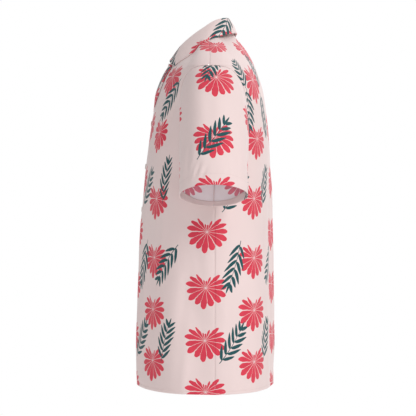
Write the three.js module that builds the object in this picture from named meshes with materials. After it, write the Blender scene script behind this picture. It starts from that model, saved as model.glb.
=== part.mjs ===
// A short-sleeved camp-collar shirt, hollow and standing as it does when worn, with no wearer in it.
// Millimetres, +Z up, the wearer's front towards -Y and the wearer's left towards +X. The origin lies
// midway between the two points where the shoulder seams meet the neck seam.
import * as THREE from 'three';

// Cloth walls and seams
const WALL = 1.2;
const COLLAR_WALL = 1.6;
const SEAM_GAP = 0.3;

// Main sizes of the shirt
const HEM_Z = -725;
const NECK_SIDE_Z = -3;
const BACK_NECK_RISE = 15;
const BACK_NECK_RISE_FROM = -45;
const RING_CENTRE_Y = 10;
const PLACKET_HALF = 15;
const BREAK_Z = -172;

// How finely the body panels are divided
const LOWER_STEPS = 12;
const UPPER_STEPS = 8;
const FRONT_COLUMNS = 11;
const BACK_COLUMNS = 18;
const FRONT_TOP_INSET = 1.5;

// The body as level rings: how far the cloth reaches forwards, backwards and sideways at each height,
// and how square each ring is (2 is an ellipse, less is more pointed at the sides).
const body = table(['z', 'front', 'back', 'half', 'frontFullness', 'backFullness'], [
  [HEM_Z, -142, 143, 213, 2.20, 2.20],
  [-640, -142.5, 142.5, 214, 2.20, 2.20],
  [-540, -139.5, 141, 215, 2.20, 2.20],
  [-440, -135.5, 139.5, 216, 2.20, 2.20],
  [-340, -129.5, 137.5, 217, 2.20, 2.20],
  [-260, -121.5, 135.5, 219, 2.15, 2.20],
  [-197, -113, 132, 222, 2.00, 2.10],
  [-156, -106.5, 127.5, 225, 1.88, 2.00],
  [-135, -102.5, 124.5, 228, 1.80, 1.95],
  [-116, -97.5, 121, 228, 1.76, 1.90],
  [-96, -90.5, 115.5, 225.5, 1.70, 1.80],
  [-84, -85, 111.5, 219, 1.64, 1.75],
  [-76, -80.5, 109, 210, 1.57, 1.70],
  [-66, -76, 105, 195, 1.46, 1.65],
  [-57, -72, 101, 179, 1.34, 1.60],
  [-39, -63.5, 91, 144, 1.20, 1.50],
  [-27, -58, 83.5, 121, 1.20, 1.45],
  [-15, -52, 74, 98, 1.20, 1.45],
  [NECK_SIDE_Z, -46, 64.5, 75, 1.20, 1.50],
  [12, -40, 56, 70, 1.20, 1.60],
]);
// Close to the side of each ring the shape is rounded off, so that the shoulder has no crease.
const SIDE_FULLNESS = 2.2;
const SIDE_BLEND_DEG = 16;

// The front edge of a front panel above the top button: the neck seam, then the line where the
// revere turns back. proud is how far the cloth stands forwards of the ring there.
const neckEdge = table(['z', 'x', 'proud'], [
  [BREAK_Z, -PLACKET_HALF, 0],
  [-156, 2, 0],
  [-130, 16, 0.5],
  [-100, 32, 0.8],
  [-85, 40, 1.5],
  [-73, 47, 3],
  [-66, 52, 6],
  [-58, 57, 8],
  [-45, 64, 4.5],
  [-30, 70, 1.5],
  [-15, 74, 0],
  [NECK_SIDE_Z, 75, 0],
]);
const PROUD_FADE = 42;
const EDGE_SEARCH_DEG = [-75, 89.9];
const EDGE_SEARCH_ROUNDS = 40;

// Armhole: a rounded loop in the body's surface, from the shoulder tip down to the underarm.
const ARMHOLE_TOP_Z = -83;
const ARMHOLE_LOW_Z = -262;
const ARMHOLE_FRONT_DEG = 19;
const ARMHOLE_BACK_DEG = 22;
const ARMHOLE_FULLNESS = 2.7;
const ARMHOLE_STEPS = 32;
const ARMHOLE_TANGENT_DEG = 2;
const ARMHOLE_GAP = 0.85;
const SHOULDER_SEAM_DEG = 90;
const SIDE_SEAM_DEG = 92.7;

// Sleeve: a tube from the armhole to an open elliptical hem.
const SLEEVE_HEM_CENTRE = new THREE.Vector3(295, 17, -338);
const SLEEVE_LEAN_DEG = 19;
const SLEEVE_HEM_ACROSS = 62;
const SLEEVE_HEM_DEEP = 65;
const SLEEVE_ROWS = 10;
const SLEEVE_PULL = 0.95;
// How the sleeve leaves the armhole, from the top round the front to the underarm.
const sleeveStart = table(['turn', 'out', 'down'], [
  [0, 0.74, 0.67],
  [45, 0.78, 0.60],
  [90, 0.86, 0.50],
  [180, 0.90, 0.43],
]);

// Largest folds of the body, hung from where they start. Angles run from the centre front, positive
// towards the wearer's left; a negative depth is a trough.
const BODY_FOLD_COLUMNS = ['angle', 'width', 'depth', 'top', 'bottom'];
const BODY_FOLDS = rowsOf(BODY_FOLD_COLUMNS, [
  [64, 7, -5, -90, -330],
  [24, 9, 3.5, -330, -760],
  [46, 8, -3.5, -300, -700],
  [83, 6, -4, -400, -540],
  [79, 6, -4.5, -600, -760],
  [104, 6, -4, -530, -640],
  [118, 9, 4, -420, -760],
  [150, 9, -4, -300, -760],
  [176, 10, 3.5, -260, -700],
  [-22, 8, 3, -380, -760],
  [-47, 9, -4, -280, -760],
  [-66, 7, -5, -90, -330],
  [-84, 7, 3.5, -460, -760],
  [-108, 8, -4, -400, -700],
  [-134, 9, 4, -320, -760],
  [-160, 8, -3.5, -340, -720],
]);
const FOLD_END = 70;

// Largest folds of a sleeve: turn is the angle round the tube from its top towards the front.
const SLEEVE_FOLD_COLUMNS = ['turn', 'width', 'depth', 'start', 'end'];
const SLEEVE_FOLDS = rowsOf(SLEEVE_FOLD_COLUMNS, [
  [58, 16, -3, 0.15, 0.85],
  [20, 14, 2, 0.35, 1.15],
  [-40, 16, -2.5, 0.2, 0.9],
  [128, 15, -3, 0.25, 1.15],
  [-125, 16, -3, 0.3, 1.15],
]);
const SLEEVE_FOLD_END = 0.25;

// Collar: sections from the centre back (0) to the front end (1). The neck seam is followed, roll is
// the top of the fold and edge the free edge of the fall.
const COLLAR_SIDE_PART = 0.42;
const COLLAR_END_Z = -60;
const collarLine = table(
  ['part', 'rollX', 'rollY', 'rollZ', 'edgeX', 'edgeY', 'edgeZ', 'bulge'],
  [
    [0.00, 0, 49, 37, 0, 67, 4, 3],
    [0.14, 26, 47, 34, 38, 63, 1, 3],
    [0.28, 48, 36, 30.5, 72, 48, -5, 3.5],
    [0.42, 63, 18, 23, 97, 23, -15.5, 4],
    [0.55, 69, -1, 10, 113, 6, -25.5, 4],
    [0.68, 70, -19, -2.5, 120, -11, -40.5, 4],
    [0.80, 68, -35, -15, 119, -28, -52.5, 4],
    [0.90, 65, -51, -30, 112, -45, -62, 4],
    [1.00, 56, -71, -57, 98, -62, -71.5, 5],
  ],
);
const COLLAR_STATIONS = 34;
const COLLAR_SECTION_STEPS = 10;
const STAND_LEAN = 3;
const STAND_GAP = 1.5;
const STAND_PART = 0.55;
const FALL_PART = 0.45;
const FRONT_SEAM_EASE = 1.25;
const COLLAR_REST = COLLAR_WALL / 2 + 1;
const COLLAR_REST_ROUNDS = 6;

// Revere: what shows of the front facing, turned back from the roll line at rollZ out to its edge.
const revere = table(['rollZ', 'edgeX', 'edgeZ'], [
  [-149, 17, -160],
  [-141, 34, -154],
  [-131, 51, -146],
  [-119, 65, -134],
  [-105, 74, -118],
  [-91, 80, -102],
  [-79, 84, -89],
  [-71, 86, -80],
  [-64, 76, -70],
]);
const REVERE_LOW_Z = -149;
const REVERE_TIP_Z = -71;
const REVERE_TOP_Z = -64;
const REVERE_ROWS = 9;
const REVERE_FACE_STEPS = 6;
const REVERE_TURN_RADIUS = 2.4;
const REVERE_TURNS = [0, 45, 90, 135, 180];
const REVERE_INSIDE = 14;
const REVERE_LIFT = 2.5;

// Underlap of the right front, which passes behind the left front at the buttons.
const UNDERLAP_DEPTH = WALL + 2 * SEAM_GAP;
const UNDERLAP_FULL_X = -18;
const UNDERLAP_FADE_X = -60;
const UNDERLAP_FADE_Z = [-145, -105];

// Buttons down the centre front
const BUTTON_COUNT = 6;
const TOP_BUTTON_Z = -184;
const BUTTON_PITCH = 90;
const BUTTON_RADIUS = 5.75;
const BUTTON_THICK = 2.2;
const BUTTON_SIDES = 14;
const BUTTON_SEAT = 0.4;
const THREAD_HOLE_RADIUS = 0.9;
const THREAD_HOLE_OFFSET = 1.45;
const THREAD_HOLE_SIDES = 6;

const CLOTH_COLOUR = 0xf4e0de;
const CLOTH_ROUGHNESS = 0.85;
const BUTTON_COLOUR = 0xf3e6e2;
const BUTTON_ROUGHNESS = 0.35;

// Turns rows under named columns into a list of records.
function rowsOf(names, rows) {
  return rows.map((row) => Object.fromEntries(names.map((name, column) => [name, row[column]])));
}

// Turns rows under named columns into one smooth function of the first column for each name.
function table(names, rows) {
  const sorted = [...rows].sort((a, b) => a[0] - b[0]);
  const at = sorted.map((row) => row[0]);
  const curves = names.map((name, column) => [name, smoothCurve(at, sorted.map((row) => row[column]))]);
  return Object.fromEntries(curves);
}

// A curve through the given values that never overshoots them.
function smoothCurve(at, values) {
  const last = at.length - 1;
  const slopes = values.slice(1).map((value, i) => (value - values[i]) / (at[i + 1] - at[i]));
  const tangents = values.map((value, i) => {
    const before = slopes[Math.max(i - 1, 0)];
    const after = slopes[Math.min(i, last - 1)];
    return before * after > 0 ? (2 * before * after) / (before + after) : 0;
  });
  return (x) => {
    if (x <= at[0]) return values[0];
    if (x >= at[last]) return values[last];
    const i = at.findIndex((edge) => edge > x) - 1;
    const span = at[i + 1] - at[i];
    const t = (x - at[i]) / span;
    const rest = 1 - t;
    const ends = values[i] * (1 + 2 * t) * rest * rest + values[i + 1] * t * t * (3 - 2 * t);
    return ends + span * t * rest * (tangents[i] * rest - tangents[i + 1] * t);
  };
}

function smoothStep(value) {
  const t = Math.min(Math.max(value, 0), 1);
  return t * t * (3 - 2 * t);
}

function wrapDegrees(angle) {
  return ((((angle + 180) % 360) + 360) % 360) - 180;
}

function fractions(count) {
  return Array.from({ length: count + 1 }, (unused, i) => i / count);
}

function mix(a, b, t) {
  return a + (b - a) * t;
}

// 1 between two places and 0 outside them, with soft ends inside.
function windowed(value, from, to, end) {
  return smoothStep((value - from) / end) * smoothStep((to - value) / end);
}

function foldDepth(angle, z) {
  let sum = 0;
  for (const fold of BODY_FOLDS) {
    const away = wrapDegrees(angle - fold.angle) / fold.width;
    sum += fold.depth * Math.exp(-away * away) * windowed(z, fold.bottom, fold.top, FOLD_END);
  }
  return sum;
}

// A point of the body's outer face, at an angle from the centre front and a height.
function bodyPoint(angle, z) {
  const turn = THREE.MathUtils.degToRad(angle);
  const across = Math.sin(turn);
  const along = Math.cos(turn);
  const ahead = along > 0;
  const depth = ahead ? RING_CENTRE_Y - body.front(z) : body.back(z) - RING_CENTRE_Y;
  const fullness = ahead ? body.frontFullness(z) : body.backFullness(z);
  const fromSide = Math.abs(90 - Math.abs(wrapDegrees(angle)));
  const power = mix(SIDE_FULLNESS, fullness, smoothStep(fromSide / SIDE_BLEND_DEG));
  const sum = (Math.abs(across) / body.half(z)) ** power + (Math.abs(along) / depth) ** power;
  const radius = sum ** (-1 / power) + foldDepth(angle, z);
  return new THREE.Vector3(radius * across, RING_CENTRE_Y - radius * along, z);
}

// The same for a front panel, whose cloth stands forwards beside the open neck.
function frontPoint(angle, z) {
  const point = bodyPoint(angle, z);
  const away = (Math.abs(point.x) - neckEdge.x(z)) / PROUD_FADE;
  point.y -= neckEdge.proud(z) * Math.exp(-away * away);
  return point;
}

// The right front also passes behind the left front near the buttons.
function rightFrontPoint(angle, z) {
  const point = frontPoint(angle, z);
  const beside = smoothStep((point.x - UNDERLAP_FADE_X) / (UNDERLAP_FULL_X - UNDERLAP_FADE_X));
  const [full, none] = UNDERLAP_FADE_Z;
  point.y += UNDERLAP_DEPTH * beside * smoothStep((none - z) / (none - full));
  return point;
}

// The back's rows rise towards the centre back near the neck.
function backPoint(angle, z) {
  const turn = THREE.MathUtils.degToRad(angle);
  const share = smoothStep((z - BACK_NECK_RISE_FROM) / (NECK_SIDE_Z - BACK_NECK_RISE_FROM));
  return bodyPoint(angle, z + BACK_NECK_RISE * share * Math.cos(turn) ** 2);
}

// Outward direction of a surface given as a function of angle and height.
function outward(surface, angle, z) {
  const angleStep = 0.2;
  const heightStep = 0.4;
  const along = surface(angle + angleStep, z).sub(surface(angle - angleStep, z));
  const up = surface(angle, z + heightStep).sub(surface(angle, z - heightStep));
  return along.cross(up).normalize();
}

// The angle at which a front panel's surface crosses a given distance from the centre.
function angleAtX(surface, x, z) {
  let [low, high] = EDGE_SEARCH_DEG;
  const wanted = Math.abs(x);
  const direction = surface === rightFrontPoint ? -1 : 1;
  const crossing = Math.sign(x) * direction >= 0 ? wanted : -wanted;
  for (let i = 0; i < EDGE_SEARCH_ROUNDS; i += 1) {
    const middle = (low + high) / 2;
    if (surface(middle * direction, z).x * direction < crossing) low = middle;
    else high = middle;
  }
  return direction * low;
}

// Joins an outer and an inner grid of points into one closed wall whose faces point out.
function wallGeometry(outer, inner, isTube) {
  const rows = outer.length;
  const columns = outer[0].length;
  const points = [...outer.flat(), ...inner.flat()];
  const innerStart = rows * columns;
  const faces = [];
  const quad = (a, b, c, d) => faces.push(a, b, c, a, c, d);
  const at = (row, column) => row * columns + (column % columns);
  const columnSteps = isTube ? columns : columns - 1;
  for (let row = 0; row < rows - 1; row += 1) {
    for (let column = 0; column < columnSteps; column += 1) {
      const low = [at(row, column), at(row, column + 1)];
      const high = [at(row + 1, column), at(row + 1, column + 1)];
      const corners = [low[0], low[1], high[1], high[0]];
      quad(...corners);
      quad(...corners.map((corner) => corner + innerStart).reverse());
    }
  }
  for (let column = 0; column < columnSteps; column += 1) {
    const low = [at(0, column), at(0, column + 1)];
    quad(low[1], low[0], low[0] + innerStart, low[1] + innerStart);
    const high = [at(rows - 1, column), at(rows - 1, column + 1)];
    quad(high[0], high[1], high[1] + innerStart, high[0] + innerStart);
  }
  if (!isTube) {
    for (let row = 0; row < rows - 1; row += 1) {
      const near = [at(row, 0), at(row + 1, 0)];
      quad(near[0], near[1], near[1] + innerStart, near[0] + innerStart);
      const far = [at(row, columns - 1), at(row + 1, columns - 1)];
      quad(far[1], far[0], far[0] + innerStart, far[1] + innerStart);
    }
  }
  const geometry = new THREE.BufferGeometry().setFromPoints(points);
  geometry.setIndex(signedVolume(points, faces) < 0 ? faces.reverse() : faces);
  geometry.computeVertexNormals();
  return geometry;
}

function signedVolume(points, faces) {
  let six = 0;
  for (let i = 0; i < faces.length; i += 3) {
    const [a, b, c] = faces.slice(i, i + 3).map((corner) => points[corner]);
    six += a.dot(b.clone().cross(c));
  }
  return six / 6;
}

function offsetGrid(grid, normals, distance) {
  return grid.map((row, j) => {
    return row.map((point, i) => point.clone().addScaledVector(normals[j][i], distance));
  });
}

// Directions across a grid of points, taken from each point's neighbours.
function gridNormals(grid, isTube) {
  const columns = grid[0].length;
  return grid.map((row, j) => row.map((point, i) => {
    const before = isTube ? (i + columns - 1) % columns : Math.max(i - 1, 0);
    const after = isTube ? (i + 1) % columns : Math.min(i + 1, columns - 1);
    const along = row[after].clone().sub(row[before]);
    const low = grid[Math.max(j - 1, 0)][i];
    const high = grid[Math.min(j + 1, grid.length - 1)][i];
    return along.cross(high.clone().sub(low)).normalize();
  }));
}

// Rows of a body panel: heights in three stretches, with the armhole's own steps between.
const armholeTurns = Array.from({ length: ARMHOLE_STEPS }, (unused, i) => (360 * i) / ARMHOLE_STEPS);
const sideRows = armholeTurns.filter((turn) => turn > 0 && turn < 180).map(armholeZ).reverse();
const panelRows = [
  ...fractions(LOWER_STEPS).map((t) => mix(HEM_Z, ARMHOLE_LOW_Z, t)),
  ...sideRows,
  ...fractions(UPPER_STEPS).map((t) => mix(ARMHOLE_TOP_Z, NECK_SIDE_Z, t)),
];

function armholeZ(turn) {
  const level = Math.cos(THREE.MathUtils.degToRad(turn));
  const height = Math.sign(level) * Math.abs(level) ** (2 / ARMHOLE_FULLNESS);
  return mix(ARMHOLE_LOW_Z, ARMHOLE_TOP_Z, (height + 1) / 2);
}

// Where the seam between front and back lies at a height, before the armhole cuts it away.
function seamAngle(z) {
  const down = smoothStep((ARMHOLE_TOP_Z - z) / (ARMHOLE_TOP_Z - ARMHOLE_LOW_Z));
  return mix(SHOULDER_SEAM_DEG, SIDE_SEAM_DEG, down);
}

// How far the armhole reaches from that seam, as a share of its full reach.
function armholeReach(z) {
  const level = (2 * (z - ARMHOLE_LOW_Z)) / (ARMHOLE_TOP_Z - ARMHOLE_LOW_Z) - 1;
  const inside = 1 - Math.min(Math.abs(level), 1) ** ARMHOLE_FULLNESS;
  return inside ** (1 / ARMHOLE_FULLNESS);
}

function halfGapAngle(z) {
  return THREE.MathUtils.radToDeg(SEAM_GAP / 2 / body.half(z));
}

function panelWall(rows, columns, edgeAngles, surface) {
  const outer = [];
  const inner = [];
  for (const z of rows) {
    const [from, to] = edgeAngles(z);
    const angles = fractions(columns).map((t) => mix(from, to, t));
    const points = angles.map((angle) => surface(angle, z));
    outer.push(points);
    inner.push(angles.map((angle, i) => {
      return points[i].clone().addScaledVector(outward(surface, angle, z), -WALL);
    }));
  }
  return wallGeometry(outer, inner, false);
}

// A front panel, from the placket edge or the neck to the side seam, armhole and shoulder seam.
function frontPanel(side) {
  const surface = side > 0 ? frontPoint : rightFrontPoint;
  const rows = [...panelRows];
  rows[rows.length - 1] -= FRONT_TOP_INSET;
  return panelWall(rows, FRONT_COLUMNS, (z) => {
    const centreEdge = angleAtX(surface, side * neckEdge.x(z), z);
    const sideEdge = seamAngle(z) - ARMHOLE_FRONT_DEG * armholeReach(z) - halfGapAngle(z);
    return side > 0 ? [centreEdge, sideEdge] : [-sideEdge, centreEdge];
  }, surface);
}

function backPanel() {
  return panelWall(panelRows, BACK_COLUMNS, (z) => {
    const edge = seamAngle(z) + ARMHOLE_BACK_DEG * armholeReach(z) + halfGapAngle(z);
    return [edge, 360 - edge];
  }, backPoint);
}

// A point of the armhole's edge on the wearer's left, with the direction out of the body and the one
// that leads within the cloth into the armhole.
function armholeEdge(turn) {
  const { angle, z, surface } = armholePlace(turn);
  const point = surface(angle, z);
  const normal = outward(surface, angle, z);
  const later = armholePlace(turn + ARMHOLE_TANGENT_DEG);
  const earlier = armholePlace(turn - ARMHOLE_TANGENT_DEG);
  const along = later.surface(later.angle, later.z).sub(earlier.surface(earlier.angle, earlier.z));
  const into = along.cross(normal).normalize();
  const middleZ = (ARMHOLE_TOP_Z + ARMHOLE_LOW_Z) / 2;
  const middle = bodyPoint(seamAngle(middleZ), middleZ);
  if (into.dot(middle.sub(point)) < 0) into.negate();
  return { point, normal, into };
}

function armholePlace(turn) {
  const z = armholeZ(turn);
  const ahead = Math.sin(THREE.MathUtils.degToRad(turn)) >= 0;
  const reach = armholeReach(z) * (ahead ? -ARMHOLE_FRONT_DEG : ARMHOLE_BACK_DEG);
  return { angle: seamAngle(z) + reach, z, surface: ahead ? frontPoint : backPoint };
}

function sleeveFoldDepth(turn, along) {
  let sum = 0;
  for (const fold of SLEEVE_FOLDS) {
    const away = wrapDegrees(turn - fold.turn) / fold.width;
    const share = windowed(along, fold.start, fold.end, SLEEVE_FOLD_END);
    sum += fold.depth * Math.exp(-away * away) * share;
  }
  return sum;
}

// A sleeve on the wearer's left: each line of the tube leaves the armhole outwards and downwards and
// arrives square to the hem.
function sleeveWall() {
  const lean = THREE.MathUtils.degToRad(SLEEVE_LEAN_DEG);
  const outUp = new THREE.Vector3(Math.cos(lean), 0, Math.sin(lean));
  const downOut = new THREE.Vector3(Math.sin(lean), 0, -Math.cos(lean));
  const lines = armholeTurns.map((turn) => {
    const { point, normal, into } = armholeEdge(turn);
    const radians = THREE.MathUtils.degToRad(turn);
    const end = SLEEVE_HEM_CENTRE.clone()
      .addScaledVector(outUp, SLEEVE_HEM_ACROSS * Math.cos(radians))
      .add(new THREE.Vector3(0, -SLEEVE_HEM_DEEP * Math.sin(radians), 0));
    const fromTop = Math.abs(wrapDegrees(turn));
    const start = point.clone().addScaledVector(into, ARMHOLE_GAP);
    const pull = start.distanceTo(end) * SLEEVE_PULL;
    const leave = new THREE.Vector3(sleeveStart.out(fromTop), 0, -sleeveStart.down(fromTop));
    leave.setLength(pull);
    const arrive = downOut.clone().multiplyScalar(pull);
    return { turn, normal, start, end, leave, arrive };
  });
  const grid = fractions(SLEEVE_ROWS).map((t) => lines.map((line) => hermite(line, t)));
  const folded = offsetByFolds(grid, lines);
  const normals = gridNormals(folded, true);
  const outerSide = normals[SLEEVE_ROWS][0].dot(outUp) > 0 ? 1 : -1;
  normals.forEach((row) => row.forEach((normal) => normal.multiplyScalar(outerSide)));
  normals[0] = lines.map((line) => line.normal);
  return wallGeometry(folded, offsetGrid(folded, normals, -WALL), true);
}

function hermite({ start, end, leave, arrive }, t) {
  const rest = 1 - t;
  return start.clone().multiplyScalar((1 + 2 * t) * rest * rest)
    .addScaledVector(end, t * t * (3 - 2 * t))
    .addScaledVector(leave, t * rest * rest)
    .addScaledVector(arrive, -t * t * rest);
}

function offsetByFolds(grid, lines) {
  const centres = grid.map((row) => {
    return row.reduce((sum, point) => sum.add(point), new THREE.Vector3()).divideScalar(row.length);
  });
  return grid.map((row, j) => row.map((point, i) => {
    const away = point.clone().sub(centres[j]).normalize();
    return point.clone().addScaledVector(away, sleeveFoldDepth(lines[i].turn, j / SLEEVE_ROWS));
  }));
}

function mirrored(geometry) {
  const copy = geometry.clone().scale(-1, 1, 1);
  const faces = Array.from(copy.index.array).reverse();
  copy.setIndex(faces);
  copy.computeVertexNormals();
  return copy;
}

// The middle of a panel's neck edge, with the direction out of the panel into the neck.
function neckSeam(part) {
  const tangentStep = 0.3;
  const cornerStep = 0.5;
  let edge;
  let inside;
  let normal;
  if (part <= COLLAR_SIDE_PART) {
    const angle = mix(180, SHOULDER_SEAM_DEG + cornerStep, part / COLLAR_SIDE_PART);
    edge = backPoint(angle, NECK_SIDE_Z);
    inside = backPoint(angle, NECK_SIDE_Z - tangentStep);
    normal = outward(backPoint, angle, NECK_SIDE_Z - tangentStep);
  } else {
    const share = (part - COLLAR_SIDE_PART) / (1 - COLLAR_SIDE_PART);
    const z = mix(NECK_SIDE_Z - FRONT_TOP_INSET, COLLAR_END_Z, share ** FRONT_SEAM_EASE);
    const angle = angleAtX(frontPoint, neckEdge.x(z), z);
    edge = frontPoint(angle, z);
    const level = new THREE.Vector3().subVectors(frontPoint(angle + tangentStep, z), edge);
    normal = outward(frontPoint, angle, z);
    const later = neckEdgePoint(z - tangentStep);
    const along = neckEdgePoint(z + tangentStep).sub(later);
    const intoNeck = along.cross(normal);
    if (intoNeck.dot(level) > 0) intoNeck.negate();
    inside = edge.clone().sub(intoNeck);
  }
  const away = edge.clone().sub(inside).normalize();
  return edge.addScaledVector(normal, -WALL / 2).addScaledVector(away, STAND_GAP);
}

function neckEdgePoint(z) {
  return frontPoint(angleAtX(frontPoint, neckEdge.x(z), z), z);
}

// One section of the collar on the wearer's left: up the stand, over the roll and down the fall.
function collarSection(part) {
  const seam = neckSeam(part);
  const roll = new THREE.Vector3(collarLine.rollX(part), collarLine.rollY(part), collarLine.rollZ(part));
  const edge = new THREE.Vector3(collarLine.edgeX(part), collarLine.edgeY(part), collarLine.edgeZ(part));
  const fromCentre = new THREE.Vector3(roll.x, roll.y - RING_CENTRE_Y, 0).normalize();
  const stand = seam.clone().lerp(roll, STAND_PART).addScaledVector(fromCentre, -STAND_LEAN * (1 - part));
  const fall = roll.clone().lerp(edge, FALL_PART).addScaledVector(fromCentre, collarLine.bulge(part));
  const curve = new THREE.CatmullRomCurve3([seam, stand, roll, fall, edge], false, 'centripetal');
  const points = curve.getPoints(COLLAR_SECTION_STEPS);
  const fallStart = COLLAR_SECTION_STEPS / 2;
  return points.map((point, i) => (i > fallStart ? clearOfPanels(point) : point));
}

// Moves a point out along the panel's outward direction until the collar lies on the cloth there.
function clearOfPanels(point) {
  const lifted = point.clone();
  for (let round = 0; round < COLLAR_REST_ROUNDS; round += 1) {
    const z = Math.min(lifted.z, NECK_SIDE_Z);
    const angle = THREE.MathUtils.radToDeg(Math.atan2(lifted.x, RING_CENTRE_Y - lifted.y));
    const surface = angle > SHOULDER_SEAM_DEG ? bodyPoint : frontPoint;
    const normal = outward(surface, angle, z);
    const height = lifted.clone().sub(surface(angle, z)).dot(normal);
    if (lifted.z < NECK_SIDE_Z && height < COLLAR_REST) {
      lifted.addScaledVector(normal, COLLAR_REST - height);
    }
  }
  return lifted;
}

function collarWall() {
  const parts = fractions(COLLAR_STATIONS).map((t) => 2 * t - 1);
  const grid = parts.map((part) => {
    const side = part < 0 ? -1 : 1;
    const section = collarSection(Math.abs(part));
    return section.map((point) => new THREE.Vector3(side * point.x, point.y, point.z));
  });
  const normals = gridNormals(grid, false);
  const outer = offsetGrid(grid, normals, COLLAR_WALL / 2);
  return wallGeometry(outer, offsetGrid(grid, normals, -COLLAR_WALL / 2), false);
}

// One section of a revere: a short leg inside the neck edge, a turn round that edge, and the face that
// lies back on the front panel.
function revereSection(side, rollZ) {
  const surface = side > 0 ? frontPoint : rightFrontPoint;
  const place = (x, z, height) => {
    const angle = angleAtX(surface, side * x, z);
    return surface(angle, z).addScaledVector(outward(surface, angle, z), height);
  };
  const rollX = neckEdge.x(rollZ);
  const middle = -WALL / 2;
  const points = [place(rollX + REVERE_INSIDE, rollZ, middle - REVERE_TURN_RADIUS)];
  const edge = place(rollX, rollZ, middle);
  const intoNeck = edge.clone().sub(place(rollX + 1, rollZ, middle)).normalize();
  const normal = place(rollX, rollZ, 1).sub(place(rollX, rollZ, 0));
  for (const turn of REVERE_TURNS) {
    const radians = THREE.MathUtils.degToRad(turn);
    points.push(edge.clone()
      .addScaledVector(normal, -REVERE_TURN_RADIUS * Math.cos(radians))
      .addScaledVector(intoNeck, REVERE_TURN_RADIUS * Math.sin(radians)));
  }
  for (const t of fractions(REVERE_FACE_STEPS).slice(1)) {
    const x = mix(rollX, revere.edgeX(rollZ), t);
    const z = mix(rollZ, revere.edgeZ(rollZ), t);
    const flat = WALL / 2 + SEAM_GAP * 2;
    const height = mix(REVERE_TURN_RADIUS + middle, flat, t) + REVERE_LIFT * Math.sin(Math.PI * t);
    points.push(place(x, z, height));
  }
  return points;
}

function revereWall(side) {
  const lower = fractions(REVERE_ROWS).map((t) => mix(REVERE_LOW_Z, REVERE_TIP_Z, t));
  const upper = [mix(REVERE_TIP_Z, REVERE_TOP_Z, 0.5), REVERE_TOP_Z];
  const grid = [...lower, ...upper].map((rollZ) => revereSection(side, rollZ));
  const normals = gridNormals(grid, false);
  const outer = offsetGrid(grid, normals, WALL / 2);
  return wallGeometry(outer, offsetGrid(grid, normals, -WALL / 2), false);
}

function polygon(shape, radius, sides, centreX, centreY) {
  for (let i = 0; i < sides; i += 1) {
    const turn = (2 * Math.PI * i) / sides;
    const x = centreX + radius * Math.cos(turn);
    const y = centreY + radius * Math.sin(turn);
    if (i === 0) shape.moveTo(x, y);
    else shape.lineTo(x, y);
  }
  shape.closePath();
  return shape;
}

function buttonGeometry() {
  const disc = polygon(new THREE.Shape(), BUTTON_RADIUS, BUTTON_SIDES, 0, 0);
  for (const x of [-THREAD_HOLE_OFFSET, THREAD_HOLE_OFFSET]) {
    for (const y of [-THREAD_HOLE_OFFSET, THREAD_HOLE_OFFSET]) {
      disc.holes.push(polygon(new THREE.Path(), THREAD_HOLE_RADIUS, THREAD_HOLE_SIDES, x, y));
    }
  }
  return new THREE.ExtrudeGeometry(disc, { depth: BUTTON_THICK, bevelEnabled: false, curveSegments: 1 });
}

function clothMesh(name, geometry) {
  const material = new THREE.MeshStandardMaterial({
    color: CLOTH_COLOUR,
    roughness: CLOTH_ROUGHNESS,
    metalness: 0,
    side: THREE.DoubleSide,
  });
  const mesh = new THREE.Mesh(geometry, material);
  mesh.name = name;
  return mesh;
}

function buttonMesh(index) {
  const material = new THREE.MeshStandardMaterial({
    color: BUTTON_COLOUR,
    roughness: BUTTON_ROUGHNESS,
    metalness: 0,
  });
  const mesh = new THREE.Mesh(buttonGeometry(), material);
  const z = TOP_BUTTON_Z - BUTTON_PITCH * index;
  const angle = angleAtX(frontPoint, 0, z);
  const normal = outward(frontPoint, angle, z);
  mesh.position.copy(frontPoint(angle, z)).addScaledVector(normal, BUTTON_SEAT);
  mesh.quaternion.setFromUnitVectors(new THREE.Vector3(0, 0, 1), normal);
  mesh.name = `button_${index + 1}`;
  return mesh;
}

const shirt = new THREE.Group();
shirt.add(clothMesh('front_left', frontPanel(1)));
shirt.add(clothMesh('front_right', frontPanel(-1)));
shirt.add(clothMesh('back', backPanel()));
const leftSleeve = sleeveWall();
shirt.add(clothMesh('sleeve_left', leftSleeve));
shirt.add(clothMesh('sleeve_right', mirrored(leftSleeve)));
shirt.add(clothMesh('collar', collarWall()));
shirt.add(clothMesh('facing_left', revereWall(1)));
shirt.add(clothMesh('facing_right', revereWall(-1)));
for (let index = 0; index < BUTTON_COUNT; index += 1) shirt.add(buttonMesh(index));

export default shirt;
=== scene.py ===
"""A short-sleeved camp-collar shirt in printed cloth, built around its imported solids."""

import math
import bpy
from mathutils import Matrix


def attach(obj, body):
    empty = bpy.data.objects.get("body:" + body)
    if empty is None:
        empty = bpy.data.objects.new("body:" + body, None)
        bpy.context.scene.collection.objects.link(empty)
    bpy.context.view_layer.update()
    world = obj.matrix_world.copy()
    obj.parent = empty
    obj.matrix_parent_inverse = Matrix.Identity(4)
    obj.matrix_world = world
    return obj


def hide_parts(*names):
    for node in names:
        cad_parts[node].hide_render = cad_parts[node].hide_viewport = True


bl_info = {
    "name": "Hawaiian Shirt",
    "version": (1, 0, 0),
    "blender": (4, 5, 0),
    "location": "3D View > Sidebar > Shirt",
    "description": "Builds a worn, hollow camp-collar shirt with a flower and frond print",
    "category": "Object",
}

from functools import lru_cache

import bmesh
import bpy
import numpy as np
from bpy.props import FloatProperty, FloatVectorProperty, IntProperty, PointerProperty
from mathutils import Matrix, Vector

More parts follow.
